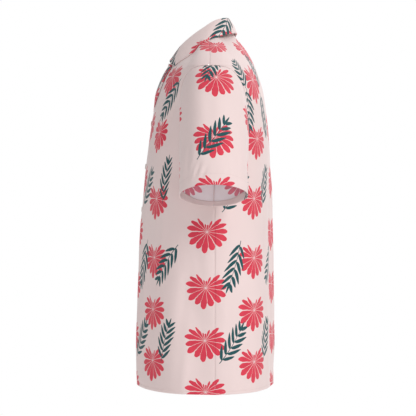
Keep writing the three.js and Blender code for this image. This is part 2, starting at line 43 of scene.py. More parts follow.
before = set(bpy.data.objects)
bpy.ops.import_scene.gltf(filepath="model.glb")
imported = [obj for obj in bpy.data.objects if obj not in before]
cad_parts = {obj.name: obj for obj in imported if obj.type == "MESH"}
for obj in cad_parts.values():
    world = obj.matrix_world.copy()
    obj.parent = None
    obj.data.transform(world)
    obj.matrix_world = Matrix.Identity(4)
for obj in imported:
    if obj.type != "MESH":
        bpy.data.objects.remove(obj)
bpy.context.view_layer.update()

MM = 0.001

# Main sizes of the shirt, in millimetres
HEM_Z = -725.0
NECK_SIDE_Z = -3.0
BACK_NECK_RISE = 15.0
BACK_NECK_RISE_FROM = -45.0
RING_CENTRE_Y = 10.0
BREAK_Z = -172.0
WALL = 1.2
SEAM_GAP = 0.3
FRONT_TOP_INSET = 1.5
CLOTH_CLEAR = 0.04


def mix(a, b, t):
    return a + (b - a) * t


def smooth_step(value):
    t = np.clip(value, 0.0, 1.0)
    return t * t * (3 - 2 * t)


def wrap_degrees(angle):
    return (np.asarray(angle, float) + 180) % 360 - 180


def bell(distance, width):
    """1 at no distance, fading softly over a few widths."""
    return np.exp(-((distance / width) ** 2))


def windowed(value, low, high, end):
    """1 between two places and 0 outside them, with soft ends inside."""
    return smooth_step((value - low) / end) * smooth_step((high - value) / end)


def unit(vectors):
    return vectors / np.linalg.norm(vectors, axis=-1, keepdims=True)


def dot(a, b):
    return (a * b).sum(axis=-1, keepdims=True)


def run_lengths(points, axis=0):
    """How far each point of a line or grid lies from its line's first point."""
    steps = np.linalg.norm(np.diff(points, axis=axis), axis=-1)
    start = np.zeros_like(steps.take([0], axis=axis))
    return np.concatenate([start, np.cumsum(steps, axis=axis)], axis=axis)


def smooth_curve(at, values):
    """A curve through the given values that never overshoots them."""
    at = np.asarray(at, float)
    values = np.asarray(values, float)
    slopes = np.diff(values) / np.diff(at)
    before = np.concatenate([slopes[:1], slopes])
    after = np.concatenate([slopes, slopes[-1:]])
    total = np.where(before + after == 0, 1, before + after)
    tangents = np.where(before * after > 0, 2 * before * after / total, 0)

    def curve(x):
        x = np.clip(np.asarray(x, float), at[0], at[-1])
        i = np.clip(np.searchsorted(at, x, side="right") - 1, 0, len(at) - 2)
        span = at[i + 1] - at[i]
        t = (x - at[i]) / span
        rest = 1 - t
        ends = values[i] * (1 + 2 * t) * rest * rest + values[i + 1] * t * t * (3 - 2 * t)
        return ends + span * t * rest * (tangents[i] * rest - tangents[i + 1] * t)

    return curve


def table(names, rows):
    """Makes each named column of a table a smooth function of its first column."""
    ordered = sorted(rows)
    at = [row[0] for row in ordered]
    return {name: smooth_curve(at, [row[i] for row in ordered]) for i, name in enumerate(names)}


# The body as level rings: reach forwards, backwards and sideways, and how square each is
BODY = table(
    ("z", "front", "back", "half", "front_fullness", "back_fullness"),
    [
        (HEM_Z, -142, 143, 213, 2.20, 2.20),
        (-640, -142.5, 142.5, 214, 2.20, 2.20),
        (-540, -139.5, 141, 215, 2.20, 2.20),
        (-440, -135.5, 139.5, 216, 2.20, 2.20),
        (-340, -129.5, 137.5, 217, 2.20, 2.20),
        (-260, -121.5, 135.5, 219, 2.15, 2.20),
        (-197, -113, 132, 222, 2.00, 2.10),
        (-156, -106.5, 127.5, 225, 1.88, 2.00),
        (-135, -102.5, 124.5, 228, 1.80, 1.95),
        (-116, -97.5, 121, 228, 1.76, 1.90),
        (-96, -90.5, 115.5, 225.5, 1.70, 1.80),
        (-84, -85, 111.5, 219, 1.64, 1.75),
        (-76, -80.5, 109, 210, 1.57, 1.70),
        (-66, -76, 105, 195, 1.46, 1.65),
        (-57, -72, 101, 179, 1.34, 1.60),
        (-39, -63.5, 91, 144, 1.20, 1.50),
        (-27, -58, 83.5, 121, 1.20, 1.45),
        (-15, -52, 74, 98, 1.20, 1.45),
        (NECK_SIDE_Z, -46, 64.5, 75, 1.20, 1.50),
        (12, -40, 56, 70, 1.20, 1.60),
    ],
)
SIDE_FULLNESS = 2.2
SIDE_BLEND_DEG = 16
UNEVENNESS = 0.35

# The front edge above the top button, and how far the cloth stands forwards there
NECK_EDGE = table(
    ("z", "x", "proud"),
    [
        (BREAK_Z, -15, 0),
        (-156, 2, 0),
        (-130, 16, 0.5),
        (-100, 32, 0.8),
        (-85, 40, 1.5),
        (-73, 47, 3),
        (-66, 52, 6),
        (-58, 57, 8),
        (-45, 64, 4.5),
        (-30, 70, 1.5),
        (-15, 74, 0),
        (NECK_SIDE_Z, 75, 0),
    ],
)
PROUD_FADE = 42

# Armhole and side seams
ARMHOLE_TOP_Z = -83.0
ARMHOLE_LOW_Z = -262.0
ARMHOLE_FRONT_DEG = 19.0
ARMHOLE_BACK_DEG = 22.0
ARMHOLE_FULLNESS = 2.7
ARMHOLE_GAP = 0.85
SHOULDER_SEAM_DEG = 90.0
SIDE_SEAM_DEG = 92.7

# Sleeve
SLEEVE_HEM_CENTRE = np.array([295.0, 17.0, -338.0])
SLEEVE_LEAN_DEG = 19.0
SLEEVE_HEM_ACROSS = 62.0
SLEEVE_HEM_DEEP = 65.0
SLEEVE_PULL = 0.95
SLEEVE_START = table(
    ("turn", "out", "down"),
    [(0, 0.74, 0.67), (45, 0.78, 0.60), (90, 0.86, 0.50), (180, 0.90, 0.43)],
)

# Folds of the body, the largest first: angle from the centre front, how much it drifts in 100 mm
# of rise, width, depth (negative is a trough), lower end, upper end and how softly it ends
BODY_FOLDS = [
    (64, 0, 7, -5, -330, -90, 70),
    (24, 0, 9, 3.5, -760, -330, 70),
    (46, 0, 8, -3.5, -700, -300, 70),
    (81, -0.8, 6, -4.8, -610, -340, 60),
    (84, 0, 7.5, -6.0, -770, -520, 80),
    (68, 0, 6, 2.0, -770, -500, 80),
    (104, 0, 6, -4, -640, -530, 70),
    (118, 0, 9, 4, -760, -420, 70),
    (150, 0, 9, -4, -760, -300, 70),
    (176, 0, 10, 3.5, -700, -260, 70),
    (-22, 0, 8, 3, -760, -380, 70),
    (-47, 0, 9, -4, -760, -280, 70),
    (-66, 0, 7, -5, -330, -90, 70),
    (-84, 0, 7, 3.5, -760, -460, 70),
    (-108, 0, 8, -4, -700, -400, 70),
    (-134, 0, 9, 4, -760, -320, 70),
    (-160, 0, 8, -3.5, -720, -340, 70),
    (70, 0, 5.5, -5.5, -345, -110, 60),
    (-70, 0, 5.5, -5.5, -345, -110, 60),
    (86, -2.5, 2.6, -1.6, -520, -400, 40),
    (73, 3.0, 3.0, -1.8, -640, -470, 50),
    (74, 3.4, 2.6, 2.0, -745, -610, 40),
    (98, -1.5, 2.4, 1.4, -600, -470, 40),
    (109, -2.4, 3.0, -1.5, -745, -650, 30),
    (60, 2.6, 2.6, 1.6, -470, -330, 40),
    (54, -2.2, 3.0, -1.4, -745, -560, 50),
    (36, 2.0, 3.4, 1.8, -640, -420, 50),
    (127, 2.0, 3.0, -1.6, -520, -300, 50),
    (138, -2.2, 3.2, 1.8, -745, -540, 50),
    (163, 1.6, 3.0, -1.5, -560, -260, 60),
    (112, -7, 3.0, -2.0, -250, -120, 45),
    (128, -6, 3.4, 1.6, -260, -110, 45),
    (60, 7, 2.6, -2.2, -250, -120, 40),
    (52, 5, 2.8, 1.5, -240, -110, 40),
    (-70, -3.0, 3.0, -1.8, -660, -470, 50),
    (-76, -3.0, 2.6, 1.8, -745, -600, 40),
    (-95, 1.5, 2.6, -1.4, -590, -440, 40),
    (-57, 2.4, 3.0, 1.6, -500, -330, 40),
    (-36, -2.0, 3.2, -1.6, -745, -520, 50),
    (-120, 2.2, 3.0, -1.8, -560, -330, 50),
    (-146, 2.0, 3.2, 1.6, -745, -480, 50),
    (-112, 7, 3.0, -2.0, -250, -120, 45),
    (-60, -7, 2.6, -2.2, -250, -120, 40),
    (-170, -1.2, 3.0, 1.5, -600, -300, 60),
]
BODY_DRIFT_LENGTH = 100.0

# Folds of a sleeve: turn round the tube from its top towards the front, how much it drifts over
# the whole sleeve, width, depth, and start, end and soft end as shares of the way to the hem
SLEEVE_FOLDS = [
    (58, 0, 16, -3, 0.15, 0.85, 0.25),
    (20, 0, 14, 2, 0.35, 1.15, 0.25),
    (-40, 0, 16, -2.5, 0.2, 0.9, 0.25),
    (128, 0, 15, -3, 0.25, 1.15, 0.25),
    (-125, 0, 16, -3, 0.3, 1.15, 0.25),
    (8, 110, 3.6, -2.2, 0.84, 0.97, 0.05),
    (19, 110, 3.6, -2.4, 0.81, 0.95, 0.05),
    (29, 90, 4.0, -1.8, 0.79, 0.93, 0.06),
    (44, 22, 6, -1.6, 0.62, 0.98, 0.14),
    (32, 16, 5, 1.2, 0.66, 1.0, 0.14),
    (70, 10, 6, 1.6, 0.05, 0.5, 0.15),
    (4, -8, 6, -1.0, 0.25, 0.62, 0.15),
    (-22, -12, 6, 1.0, 0.5, 0.95, 0.18),
    (-64, 10, 7, 1.8, 0.05, 0.6, 0.2),
    (-84, -14, 7, -1.6, 0.4, 0.95, 0.2),
    (94, 12, 7, -1.8, 0.1, 0.7, 0.2),
    (112, -10, 7, 1.4, 0.4, 1.0, 0.2),
    (160, 8, 8, 1.8, 0.1, 0.8, 0.2),
    (-160, 8, 8, -1.8, 0.1, 0.8, 0.2),
]
SLEEVE_DRIFT_LENGTH = 1.0

# Collar: sections from the centre back (0) to the front end (1)
COLLAR_WALL = 1.6
COLLAR_SIDE_PART = 0.42
COLLAR_END_Z = -60.0
COLLAR = table(
    ("part", "roll_x", "roll_y", "roll_z", "edge_x", "edge_y", "edge_z", "bulge"),
    [
        (0.00, 0, 49, 37, 0, 67, 4, 3),
        (0.14, 26, 47, 34, 38, 63, 1, 3),
        (0.28, 48, 36, 30.5, 72, 48, -5, 3.5),
        (0.42, 63, 18, 23, 97, 23, -15.5, 4),
        (0.55, 69, -1, 10, 113, 6, -25.5, 4),
        (0.68, 70, -19, -2.5, 120, -11, -40.5, 4),
        (0.80, 68, -35, -15, 119, -28, -52.5, 4),
        (0.90, 65, -51, -30, 112, -45, -62, 4),
        (1.00, 56, -71, -57, 98, -62, -71.5, 5),
    ],
)
STAND_LEAN = 3.0
STAND_GAP = 1.5
STAND_PART = 0.55
FALL_PART = 0.45
FRONT_SEAM_EASE = 1.25
COLLAR_REST = COLLAR_WALL / 2 + 0.6

# Reveres
REVERE = table(
    ("roll_z", "edge_x", "edge_z"),
    [
        (-149, 17, -160),
        (-141, 34, -154),
        (-131, 51, -146),
        (-119, 65, -134),
        (-105, 74, -118),
        (-91, 80, -102),
        (-79, 84, -89),
        (-71, 86, -80),
        (-64, 76, -70),
    ],
)
REVERE_LOW_Z = -149.0
REVERE_TOP_Z = -64.0
REVERE_TURN_RADIUS = 2.4
REVERE_LOW_RADIUS = 1.3
REVERE_INSIDE = 14.0
REVERE_LIFT = 2.5
REVERE_FADE = 30.0

# Underlap of the right front
UNDERLAP_DEPTH = WALL + 2 * SEAM_GAP
UNDERLAP_FULL_X = -18.0
UNDERLAP_FADE_X = -60.0
UNDERLAP_FADE_Z = (-145.0, -105.0)

# Buttons
BUTTON_COUNT = 6
TOP_BUTTON_Z = -184.0
BUTTON_PITCH = 90.0
BUTTON_SEAT = 0.4

# How the edge of a piece is finished: distance in from the edge, depth below the face, and
# distance along the cloth from the edge, which is negative on what is turned inside
SEAM_EDGE = [
    (0.16, 7.5, -7.5),
    (0.12, 3.8, -3.8),
    (0.06, 1.6, -1.6),
    (0.07, 0.70, -0.6),
    (0.26, 0.18, 0.15),
    (0.90, 0.02, 0.9),
]
FOLD_PLACES = ((1.0, -1.4), (0.28, -0.8), (0.0, -0.2), (0.28, 0.3), (0.9, 0.9))


def turned_edge(inside, fold_depths):
    """Rows of an edge that is turned in: what lies flat inside, then round the fold."""
    rows = [(inset, depth, -inset) for inset, depth in inside]
    fold = zip(FOLD_PLACES, (*fold_depths, 0.02))
    return rows + [(inset, depth, along) for (inset, along), depth in fold]


HEM_EDGE = turned_edge([(8.5, 1.55), (4.5, 1.55)], (1.50, 1.20, 0.75, 0.28))
SLEEVE_HEM_INSIDE = [(21.0, 1.35), (18.5, 1.4), (16.0, 1.4), (13.5, 1.4)]
SLEEVE_HEM_INSIDE += [(11.0, 1.45), (8.5, 1.45), (6.0, 1.5), (3.5, 1.5)]
SLEEVE_HEM_EDGE = turned_edge(SLEEVE_HEM_INSIDE, (1.45, 1.20, 0.75, 0.28))
FACING_INSIDE = [(46.0, 1.3), (30.0, 1.25), (15.0, 1.2), (6.0, 1.2)]
FACING_EDGE = turned_edge(FACING_INSIDE, (1.15, 0.95, 0.6, 0.25))

# How the cloth sinks and puckers along its seams and its sewn hems
SEAM_DIP = 0.3
SEAM_DIP_WIDTH = 3.0
SEAM_PUCKER_WIDTH = 9.0
HEM_STITCH_RISE = 6.0
HEM_DIP = 0.42
HEM_DIP_WIDTH = 2.2
SLEEVE_PUCKER_WIDTH = 8.0
SLEEVE_STITCH_RISE = 18.0
SLEEVE_HEM_DIP = 0.3
SLEEVE_HEM_DIP_WIDTH = 2.6


def sum_of_folds(folds, across, along, drift_length):
    """How far the folds lift or sink the cloth at places given across and along them."""
    total = np.zeros(np.broadcast(across, along).shape)
    for centre, drift, width, depth, low, high, end in folds:
        away = wrap_degrees(across - centre - drift * (along - low) / drift_length)
        total += depth * bell(away, width) * windowed(along, low, high, end)
    return total


def ripple(along, height, length, sway, sway_length):
    """Small uneven puckers along a line of sewing."""
    return height * np.sin(along / length + sway * np.sin(along / sway_length))


def half_depth(z, ahead):
    """How far a ring reaches from its centre, and its fullness, ahead or behind."""
    depth = np.where(ahead, RING_CENTRE_Y - BODY["front"](z), BODY["back"](z) - RING_CENTRE_Y)
    return depth, np.where(ahead, BODY["front_fullness"](z), BODY["back_fullness"](z))


def body_point(angle, z, folded=True):
    """A point of the body's outer face, at an angle from the centre front and a height."""
    angle, z = np.broadcast_arrays(np.asarray(angle, float), np.asarray(z, float))
    turn = np.radians(angle)
    across, along = np.sin(turn), np.cos(turn)
    depth, fullness = half_depth(z, along > 0)
    from_side = np.abs(90 - np.abs(wrap_degrees(angle)))
    power = mix(SIDE_FULLNESS, fullness, smooth_step(from_side / SIDE_BLEND_DEG))
    total = (np.abs(across) / BODY["half"](z)) ** power + (np.abs(along) / depth) ** power
    radius = total ** (-1 / power)
    if folded:
        radius = radius + sum_of_folds(BODY_FOLDS, angle, z, BODY_DRIFT_LENGTH)
        radius = radius + UNEVENNESS * np.sin(z / 23 + 3 * turn) * np.sin(7 * turn + z / 61)
    return np.stack([radius * across, RING_CENTRE_Y - radius * along, z], axis=-1)


def front_point(angle, z):
    point = body_point(angle, z)
    away = np.abs(point[..., 0]) - NECK_EDGE["x"](z)
    point[..., 1] -= NECK_EDGE["proud"](z) * bell(away, PROUD_FADE)
    return point


def right_front_point(angle, z):
    """The right front, which sinks behind the left one towards the centre."""
    point = front_point(angle, z)
    beside = (point[..., 0] - UNDERLAP_FADE_X) / (UNDERLAP_FULL_X - UNDERLAP_FADE_X)
    full, none = UNDERLAP_FADE_Z
    below = smooth_step((none - z) / (none - full))
    point[..., 1] += UNDERLAP_DEPTH * smooth_step(beside) * below
    return point


def back_point(angle, z):
    share = smooth_step((z - BACK_NECK_RISE_FROM) / (NECK_SIDE_Z - BACK_NECK_RISE_FROM))
    return body_point(angle, z + BACK_NECK_RISE * share * np.cos(np.radians(angle)) ** 2)


def face_of(surface, angle, z, step_angle=0.2, step_z=0.4):
    """Directions out of a surface, and how many millimetres one degree is."""
    along = surface(angle + step_angle, z) - surface(angle - step_angle, z)
    up = surface(angle, z + step_z) - surface(angle, z - step_z)
    return unit(np.cross(along, up)), np.linalg.norm(along, axis=-1) / (2 * step_angle)


def outward(surface, angle, z):
    return face_of(surface, np.asarray(angle, float), np.asarray(z, float))[0]


def angle_at_x(surface, x, z):
    """The angle at which a front's surface crosses a given distance from the centre."""
    direction = -1.0 if surface is right_front_point else 1.0
    x, z = np.broadcast_arrays(np.asarray(x, float) * direction, np.asarray(z, float))
    low = np.full(x.shape, -75.0)
    high = np.full(x.shape, 89.9)
    for _ in range(36):
        middle = (low + high) / 2
        short = surface(middle * direction, z)[..., 0] * direction < x
        low = np.where(short, middle, low)
        high = np.where(short, high, middle)
    return direction * low


def seam_angle(z):
    down = smooth_step((ARMHOLE_TOP_Z - z) / (ARMHOLE_TOP_Z - ARMHOLE_LOW_Z))
    return mix(SHOULDER_SEAM_DEG, SIDE_SEAM_DEG, down)


def armhole_reach(z):
    level = 2 * (z - ARMHOLE_LOW_Z) / (ARMHOLE_TOP_Z - ARMHOLE_LOW_Z) - 1
    inside = 1 - np.minimum(np.abs(level), 1) ** ARMHOLE_FULLNESS
    return inside ** (1 / ARMHOLE_FULLNESS)


def armhole_z(turn):
    level = np.cos(np.radians(turn))
    height = np.sign(level) * np.abs(level) ** (2 / ARMHOLE_FULLNESS)
    return mix(ARMHOLE_LOW_Z, ARMHOLE_TOP_Z, (height + 1) / 2)


def half_gap_angle(z):
    return np.degrees(CLOTH_CLEAR / BODY["half"](z))


# Where a place on the body lies on the flat cloth. Up to FLAT_Z the cloth is wrapped round the
# rings. Above it the cloth runs up over the chest and back, and over the shoulder at the seam.
FLAT_Z = -100.0
TOP_Z = 12.0
OVER_SHOULDER_DEG = 38
OVER_SHOULDER_BLEND_DEG = 26
RING_ANGLES = np.linspace(0, 180, 181)
RING_HEIGHTS = np.concatenate(
    [np.linspace(HEM_Z - 30, FLAT_Z, 60), np.linspace(FLAT_Z, TOP_Z, 40)[1:]]
)
RINGS = body_point(*np.meshgrid(RING_ANGLES, RING_HEIGHTS), folded=False)
RING_LENGTHS = run_lengths(RINGS, axis=1)
FLAT_RING = np.searchsorted(RING_HEIGHTS, FLAT_Z)
FLAT_X = RINGS[FLAT_RING, :, 0]
FLAT_U = RING_LENGTHS[FLAT_RING]
SHOULDER_LEVELS = np.linspace(FLAT_Z, TOP_Z, 80)
SHOULDER_LENGTHS = run_lengths(
    np.stack([SHOULDER_LEVELS, BODY["half"](SHOULDER_LEVELS)], axis=-1)
)


def ring_length(angle, z):
    """Distance round a ring from the centre front to an angle from 0 to 180."""
    i = np.searchsorted(RING_HEIGHTS, z, side="right") - 1
    i = np.clip(i, 0, len(RING_HEIGHTS) - 2)
    t = np.clip((z - RING_HEIGHTS[i]) / (RING_HEIGHTS[i + 1] - RING_HEIGHTS[i]), 0, 1)
    j = np.clip(np.asarray(angle).astype(int), 0, 179)
    low = mix(RING_LENGTHS[i, j], RING_LENGTHS[i, j + 1], angle - j)
    high = mix(RING_LENGTHS[i + 1, j], RING_LENGTHS[i + 1, j + 1], angle - j)
    return mix(low, high, t)


def rise_length(x, z, ahead):
    """Distance up the cloth from FLAT_Z at one distance from the centre."""
    steps = np.linspace(0, 1, 25)
    levels = FLAT_Z + (np.maximum(z, FLAT_Z) - FLAT_Z)[..., None] * steps
    depth, power = half_depth(levels, ahead[..., None])
    share = np.clip(np.abs(x)[..., None] / BODY["half"](levels), 0, 0.999)
    y = depth * (1 - share**power) ** (1 / power)
    return np.hypot(np.diff(levels), np.diff(y)).sum(axis=-1)


def body_cloth(angle, point, behind):
    """Flat place of points of a front or the back: round from the centre front, and up."""
    wrapped = wrap_degrees(angle)
    turn = np.abs(wrapped)
    ahead = turn < 90
    x, z = np.abs(point[..., 0]), point[..., 2]
    ahead_u = np.interp(x, FLAT_X[:91], FLAT_U[:91])
    behind_u = np.interp(x, FLAT_X[:89:-1], FLAT_U[:89:-1])
    over_u = FLAT_U[90] + ring_length(turn, z) - ring_length(90.0, z)
    over_v = np.interp(z, SHOULDER_LEVELS, SHOULDER_LENGTHS)
    over = smooth_step((OVER_SHOULDER_DEG - np.abs(turn - 90)) / OVER_SHOULDER_BLEND_DEG)
    above_u = mix(np.where(ahead, ahead_u, behind_u), over_u, over)
    above_v = FLAT_Z + mix(rise_length(x, z, ahead), over_v, over)
    low_z = np.minimum(z, FLAT_Z)
    u = np.where(z > FLAT_Z, above_u, ring_length(turn, low_z))
    v = np.where(z > FLAT_Z, above_v, z)
    other_side = 2 * ring_length(180.0, low_z) - u if behind else -u
    return np.stack([np.where(wrapped < 0, other_side, u), v], axis=-1)


def edge_stations(count, low_edge, high_edge):
    """Places across a piece: share of the way, distance in from an edge, depth, turned part."""
    inner = [(k / count, 0.0, 0.0, 0.0) for k in range(1, count)]
    low = [(0.0, inset, depth, fabric - inset) for inset, depth, fabric in low_edge]
    high = [(1.0, -inset, depth, inset - fabric) for inset, depth, fabric in reversed(high_edge)]
    return np.array(low + inner + high)


def body_panel(surface, heights, columns, edges, low_edge, high_edge):
    """Points and flat places of a body panel between two edges given as angles."""
    across = edge_stations(columns, low_edge, high_edge)
    rows = [(HEM_Z + inset, depth, fabric - inset) for inset, depth, fabric in HEM_EDGE]
    rows = np.array(rows + [(z, 0.0, 0.0) for z in heights])
    z = rows[:, 0][:, None] * np.ones(len(across))
    start, end = edges(rows[:, 0])
    angle = mix(start[:, None], end[:, None], across[:, 0])
    normal, per_degree = face_of(surface, angle, z)
    angle = angle + across[:, 1] / per_degree
    point = surface(angle, z)
    cloth = body_cloth(angle, point, surface is back_point)
    cloth[..., 0] += across[:, 3]
    cloth[..., 1] += rows[:, 2][:, None]
    seam_ripple = ripple(z, 0.22, 1.9, 1.7, 13.0) * (0.6 + 0.4 * np.sin(z / 31.0))
    hem_ripple = ripple(cloth[..., 0], 0.28, 2.3, 2.0, 17.0)
    sink = (HEM_DIP + hem_ripple) * bell(z - HEM_Z - HEM_STITCH_RISE, HEM_DIP_WIDTH)
    for finish, edge in ((low_edge, start), (high_edge, end)):
        if finish is SEAM_EDGE:
            distance = np.abs(angle - edge[:, None]) * per_degree
            sink += SEAM_DIP * bell(distance, SEAM_DIP_WIDTH)
            sink += seam_ripple * bell(distance, SEAM_PUCKER_WIDTH)
    depth = across[:, 2] + rows[:, 1][:, None] + sink
    return point - normal * depth[..., None], cloth


def panel_heights():
    low = np.linspace(HEM_Z + HEM_STITCH_RISE, ARMHOLE_LOW_Z, 117)
    beside_armhole = armhole_z(np.linspace(180, 0, 57)[1:-1])
    high = np.linspace(ARMHOLE_TOP_Z, NECK_SIDE_Z, 30)
    return np.concatenate([[HEM_Z + HEM_STITCH_RISE / 2], low, beside_armhole, high])


@lru_cache
def front_panel(side):
    surface = front_point if side > 0 else right_front_point
    heights = panel_heights()
    heights[-1] -= FRONT_TOP_INSET

    def edges(z):
        centre = angle_at_x(surface, side * NECK_EDGE["x"](z), z)
        beside = seam_angle(z) - ARMHOLE_FRONT_DEG * armhole_reach(z) - half_gap_angle(z)
        return (centre, beside) if side > 0 else (-beside, centre)

    finishes = (FACING_EDGE, SEAM_EDGE) if side > 0 else (SEAM_EDGE, FACING_EDGE)
    return body_panel(surface, heights, 84, edges, *finishes)


@lru_cache
def back_panel():
    def edges(z):
        edge = seam_angle(z) + ARMHOLE_BACK_DEG * armhole_reach(z) + half_gap_angle(z)
        return edge, 360 - edge

    return body_panel(back_point, panel_heights(), 150, edges, SEAM_EDGE, SEAM_EDGE)


def armhole_place(turn):
    """Point and outward direction on the armhole seam, at a turn from its top."""
    z = armhole_z(turn)
    ahead = np.sin(np.radians(turn)) >= 0
    reach = armhole_reach(z) * np.where(ahead, -ARMHOLE_FRONT_DEG, ARMHOLE_BACK_DEG)
    angle = seam_angle(z) + reach
    ahead = ahead[..., None]
    point = np.where(ahead, front_point(angle, z), back_point(angle, z))
    normal = np.where(ahead, outward(front_point, angle, z), outward(back_point, angle, z))
    return point, normal


def sleeve_lines(turn):
    """Start, end and end directions of the lines that a sleeve's tube is made of."""
    point, normal = armhole_place(turn)
    along = armhole_place(turn + 2.0)[0] - armhole_place(turn - 2.0)[0]
    into = unit(np.cross(along, normal))
    middle_z = (ARMHOLE_TOP_Z + ARMHOLE_LOW_Z) / 2
    middle = body_point(seam_angle(middle_z), middle_z)
    into *= np.where(dot(middle - point, into) < 0, -1, 1)
    lean = math.radians(SLEEVE_LEAN_DEG)
    out_up = np.array([math.cos(lean), 0, math.sin(lean)])
    down_out = np.array([math.sin(lean), 0, -math.cos(lean)])
    radians = np.radians(turn)[..., None]
    end = SLEEVE_HEM_CENTRE + SLEEVE_HEM_ACROSS * np.cos(radians) * out_up
    end = end - SLEEVE_HEM_DEEP * np.sin(radians) * np.array([0, 1, 0])
    from_top = np.abs(wrap_degrees(turn))
    out, down = SLEEVE_START["out"](from_top), SLEEVE_START["down"](from_top)
    leave = unit(np.stack([out, 0 * from_top, -down], axis=-1))
    start = point + into * ARMHOLE_GAP
    pull = np.linalg.norm(end - start, axis=-1, keepdims=True) * SLEEVE_PULL
    return start, end, leave * pull, down_out * pull


def sleeve_tube(turn, t):
    """Points of the tube on a grid of turns and shares of the way from armhole to hem."""
    start, end, leave, arrive = sleeve_lines(turn)
    t = t[:, None, None]
    rest = 1 - t
    points = start * (1 + 2 * t) * rest * rest + end * t * t * (3 - 2 * t)
    points = points + leave * t * rest * rest - arrive * t * t * rest
    away = unit(points - points[:, :-1].mean(axis=1, keepdims=True))
    t = t[..., 0]
    radians = np.radians(turn)
    lift = sum_of_folds(SLEEVE_FOLDS, turn[None, :], t, SLEEVE_DRIFT_LENGTH)
    lift = lift + 0.3 * np.sin(t * 14 + 2 * radians) * np.sin(5 * radians + t * 5)
    return points + away * lift[..., None]


def grid_normals(points):
    return unit(np.cross(np.gradient(points, axis=1), np.gradient(points, axis=0)))


@lru_cache
def left_sleeve():
    """Points and flat places of the left sleeve, from its hem up and from front to back."""
    columns, fine_rows = 132, 96
    across = edge_stations(columns, SEAM_EDGE, SEAM_EDGE)
    rows = edge_stations(70, SLEEVE_HEM_EDGE, SEAM_EDGE)
    face = sleeve_tube(np.linspace(180, -180, columns + 1), np.linspace(1, 0, fine_rows + 1))
    normal = grid_normals(face)
    normal[:, 0] = normal[:, -1] = (normal[:, 0] + normal[:, -1]) / 2
    round_tube = run_lengths(face, axis=1)
    up_tube = run_lengths(face, axis=0)
    length = up_tube[-1].mean()
    girth = round_tube[:, -1].mean()
    row_at = np.clip(rows[:, 0] + rows[:, 1] / length, 0, 1) * fine_rows
    column_at = np.clip(across[:, 0] + across[:, 1] / girth, 0, 1) * columns

    def sample(values):
        j = np.clip(row_at.astype(int), 0, fine_rows - 1)
        i = np.clip(column_at.astype(int), 0, columns - 1)
        s = (row_at - j).reshape(-1, *[1] * (values.ndim - 1))
        r = (column_at - i).reshape(1, -1, *[1] * (values.ndim - 2))
        low = mix(values[j][:, i], values[j][:, i + 1], r)
        high = mix(values[j + 1][:, i], values[j + 1][:, i + 1], r)
        return mix(low, high, s)

    u = sample(round_tube - round_tube[:, columns // 2][:, None]) + across[:, 3]
    v = sample(up_tube) + rows[:, 3][:, None]
    from_hem = row_at[:, None] / fine_rows * length
    from_head = length - from_hem
    from_seam = np.minimum(column_at, columns - column_at)[None, :] / columns * girth
    head_ripple = ripple(u, 0.2, 2.1, 2.0, 19.0)
    sink = SEAM_DIP * (bell(from_head, SEAM_DIP_WIDTH) + bell(from_seam, SEAM_DIP_WIDTH))
    sink = sink + head_ripple * bell(from_head, SLEEVE_PUCKER_WIDTH)
    hem_line = bell(from_hem - SLEEVE_STITCH_RISE, SLEEVE_HEM_DIP_WIDTH)
    sink += (SLEEVE_HEM_DIP + 1.2 * head_ripple) * hem_line
    depth = across[:, 2] + rows[:, 2][:, None] + sink
    return sample(face) - sample(normal) * depth[..., None], np.stack([u, v], axis=-1)


def mirrored(points, cloth):
    return points[:, ::-1] * np.array([-1.0, 1.0, 1.0]), cloth[:, ::-1] * np.array([-1.0, 1.0])


def neck_seam(part):
    """The middle of a panel's neck edge, moved a little out of the panel into the neck."""
    corner, step = 0.5, 0.3
    back_share = np.minimum(part / COLLAR_SIDE_PART, 1)
    back_angle = mix(180, SHOULDER_SEAM_DEG + corner, back_share)
    back_edge = back_point(back_angle, NECK_SIDE_Z)
    back_away = unit(back_edge - back_point(back_angle, NECK_SIDE_Z - step))
    back_normal = outward(back_point, back_angle, NECK_SIDE_Z - step)
    share = np.clip((part - COLLAR_SIDE_PART) / (1 - COLLAR_SIDE_PART), 0, 1)
    z = mix(NECK_SIDE_Z - FRONT_TOP_INSET, COLLAR_END_Z, share**FRONT_SEAM_EASE)

    def edge_at(level, beyond=0.0):
        angle = angle_at_x(front_point, NECK_EDGE["x"](level), level)
        return front_point(angle + beyond, level)

    angle = angle_at_x(front_point, NECK_EDGE["x"](z), z)
    front_edge = edge_at(z)
    front_normal = outward(front_point, angle, z)
    into_neck = np.cross(edge_at(z + step) - edge_at(z - step), front_normal)
    level_way = edge_at(z, step) - front_edge
    into_neck = unit(into_neck * np.where(dot(into_neck, level_way) > 0, -1, 1))
    behind = (part <= COLLAR_SIDE_PART)[..., None]
    edge = np.where(behind, back_edge, front_edge)
    normal = np.where(behind, back_normal, front_normal)
    return edge - normal * WALL / 2 + np.where(behind, back_away, into_neck) * STAND_GAP


def spline_through(knots, steps):
    """Centripetal curve through lists of knots, sampled evenly in its parameter."""
    knots = [2 * knots[0] - knots[1], *knots, 2 * knots[-1] - knots[-2]]
    segments = len(knots) - 3
    rows = []
    for step in range(steps + 1):
        at = step / steps * segments
        k = min(int(at), segments - 1)
        t = at - k
        p0, p1, p2, p3 = knots[k : k + 4]
        d0, d1, d2 = (
            np.sqrt(np.linalg.norm(b - a, axis=-1, keepdims=True))
            for a, b in ((p0, p1), (p1, p2), (p2, p3))
        )
        m1 = ((p1 - p0) / d0 - (p2 - p0) / (d0 + d1) + (p2 - p1) / d1) * d1
        m2 = ((p2 - p1) / d1 - (p3 - p1) / (d1 + d2) + (p3 - p2) / d2) * d1
        ends = p1 * (2 * t**3 - 3 * t**2 + 1) + p2 * (3 * t**2 - 2 * t**3)
        rows.append(ends + m1 * (t**3 - 2 * t**2 + t) + m2 * (t**3 - t**2))
    return np.stack(rows)


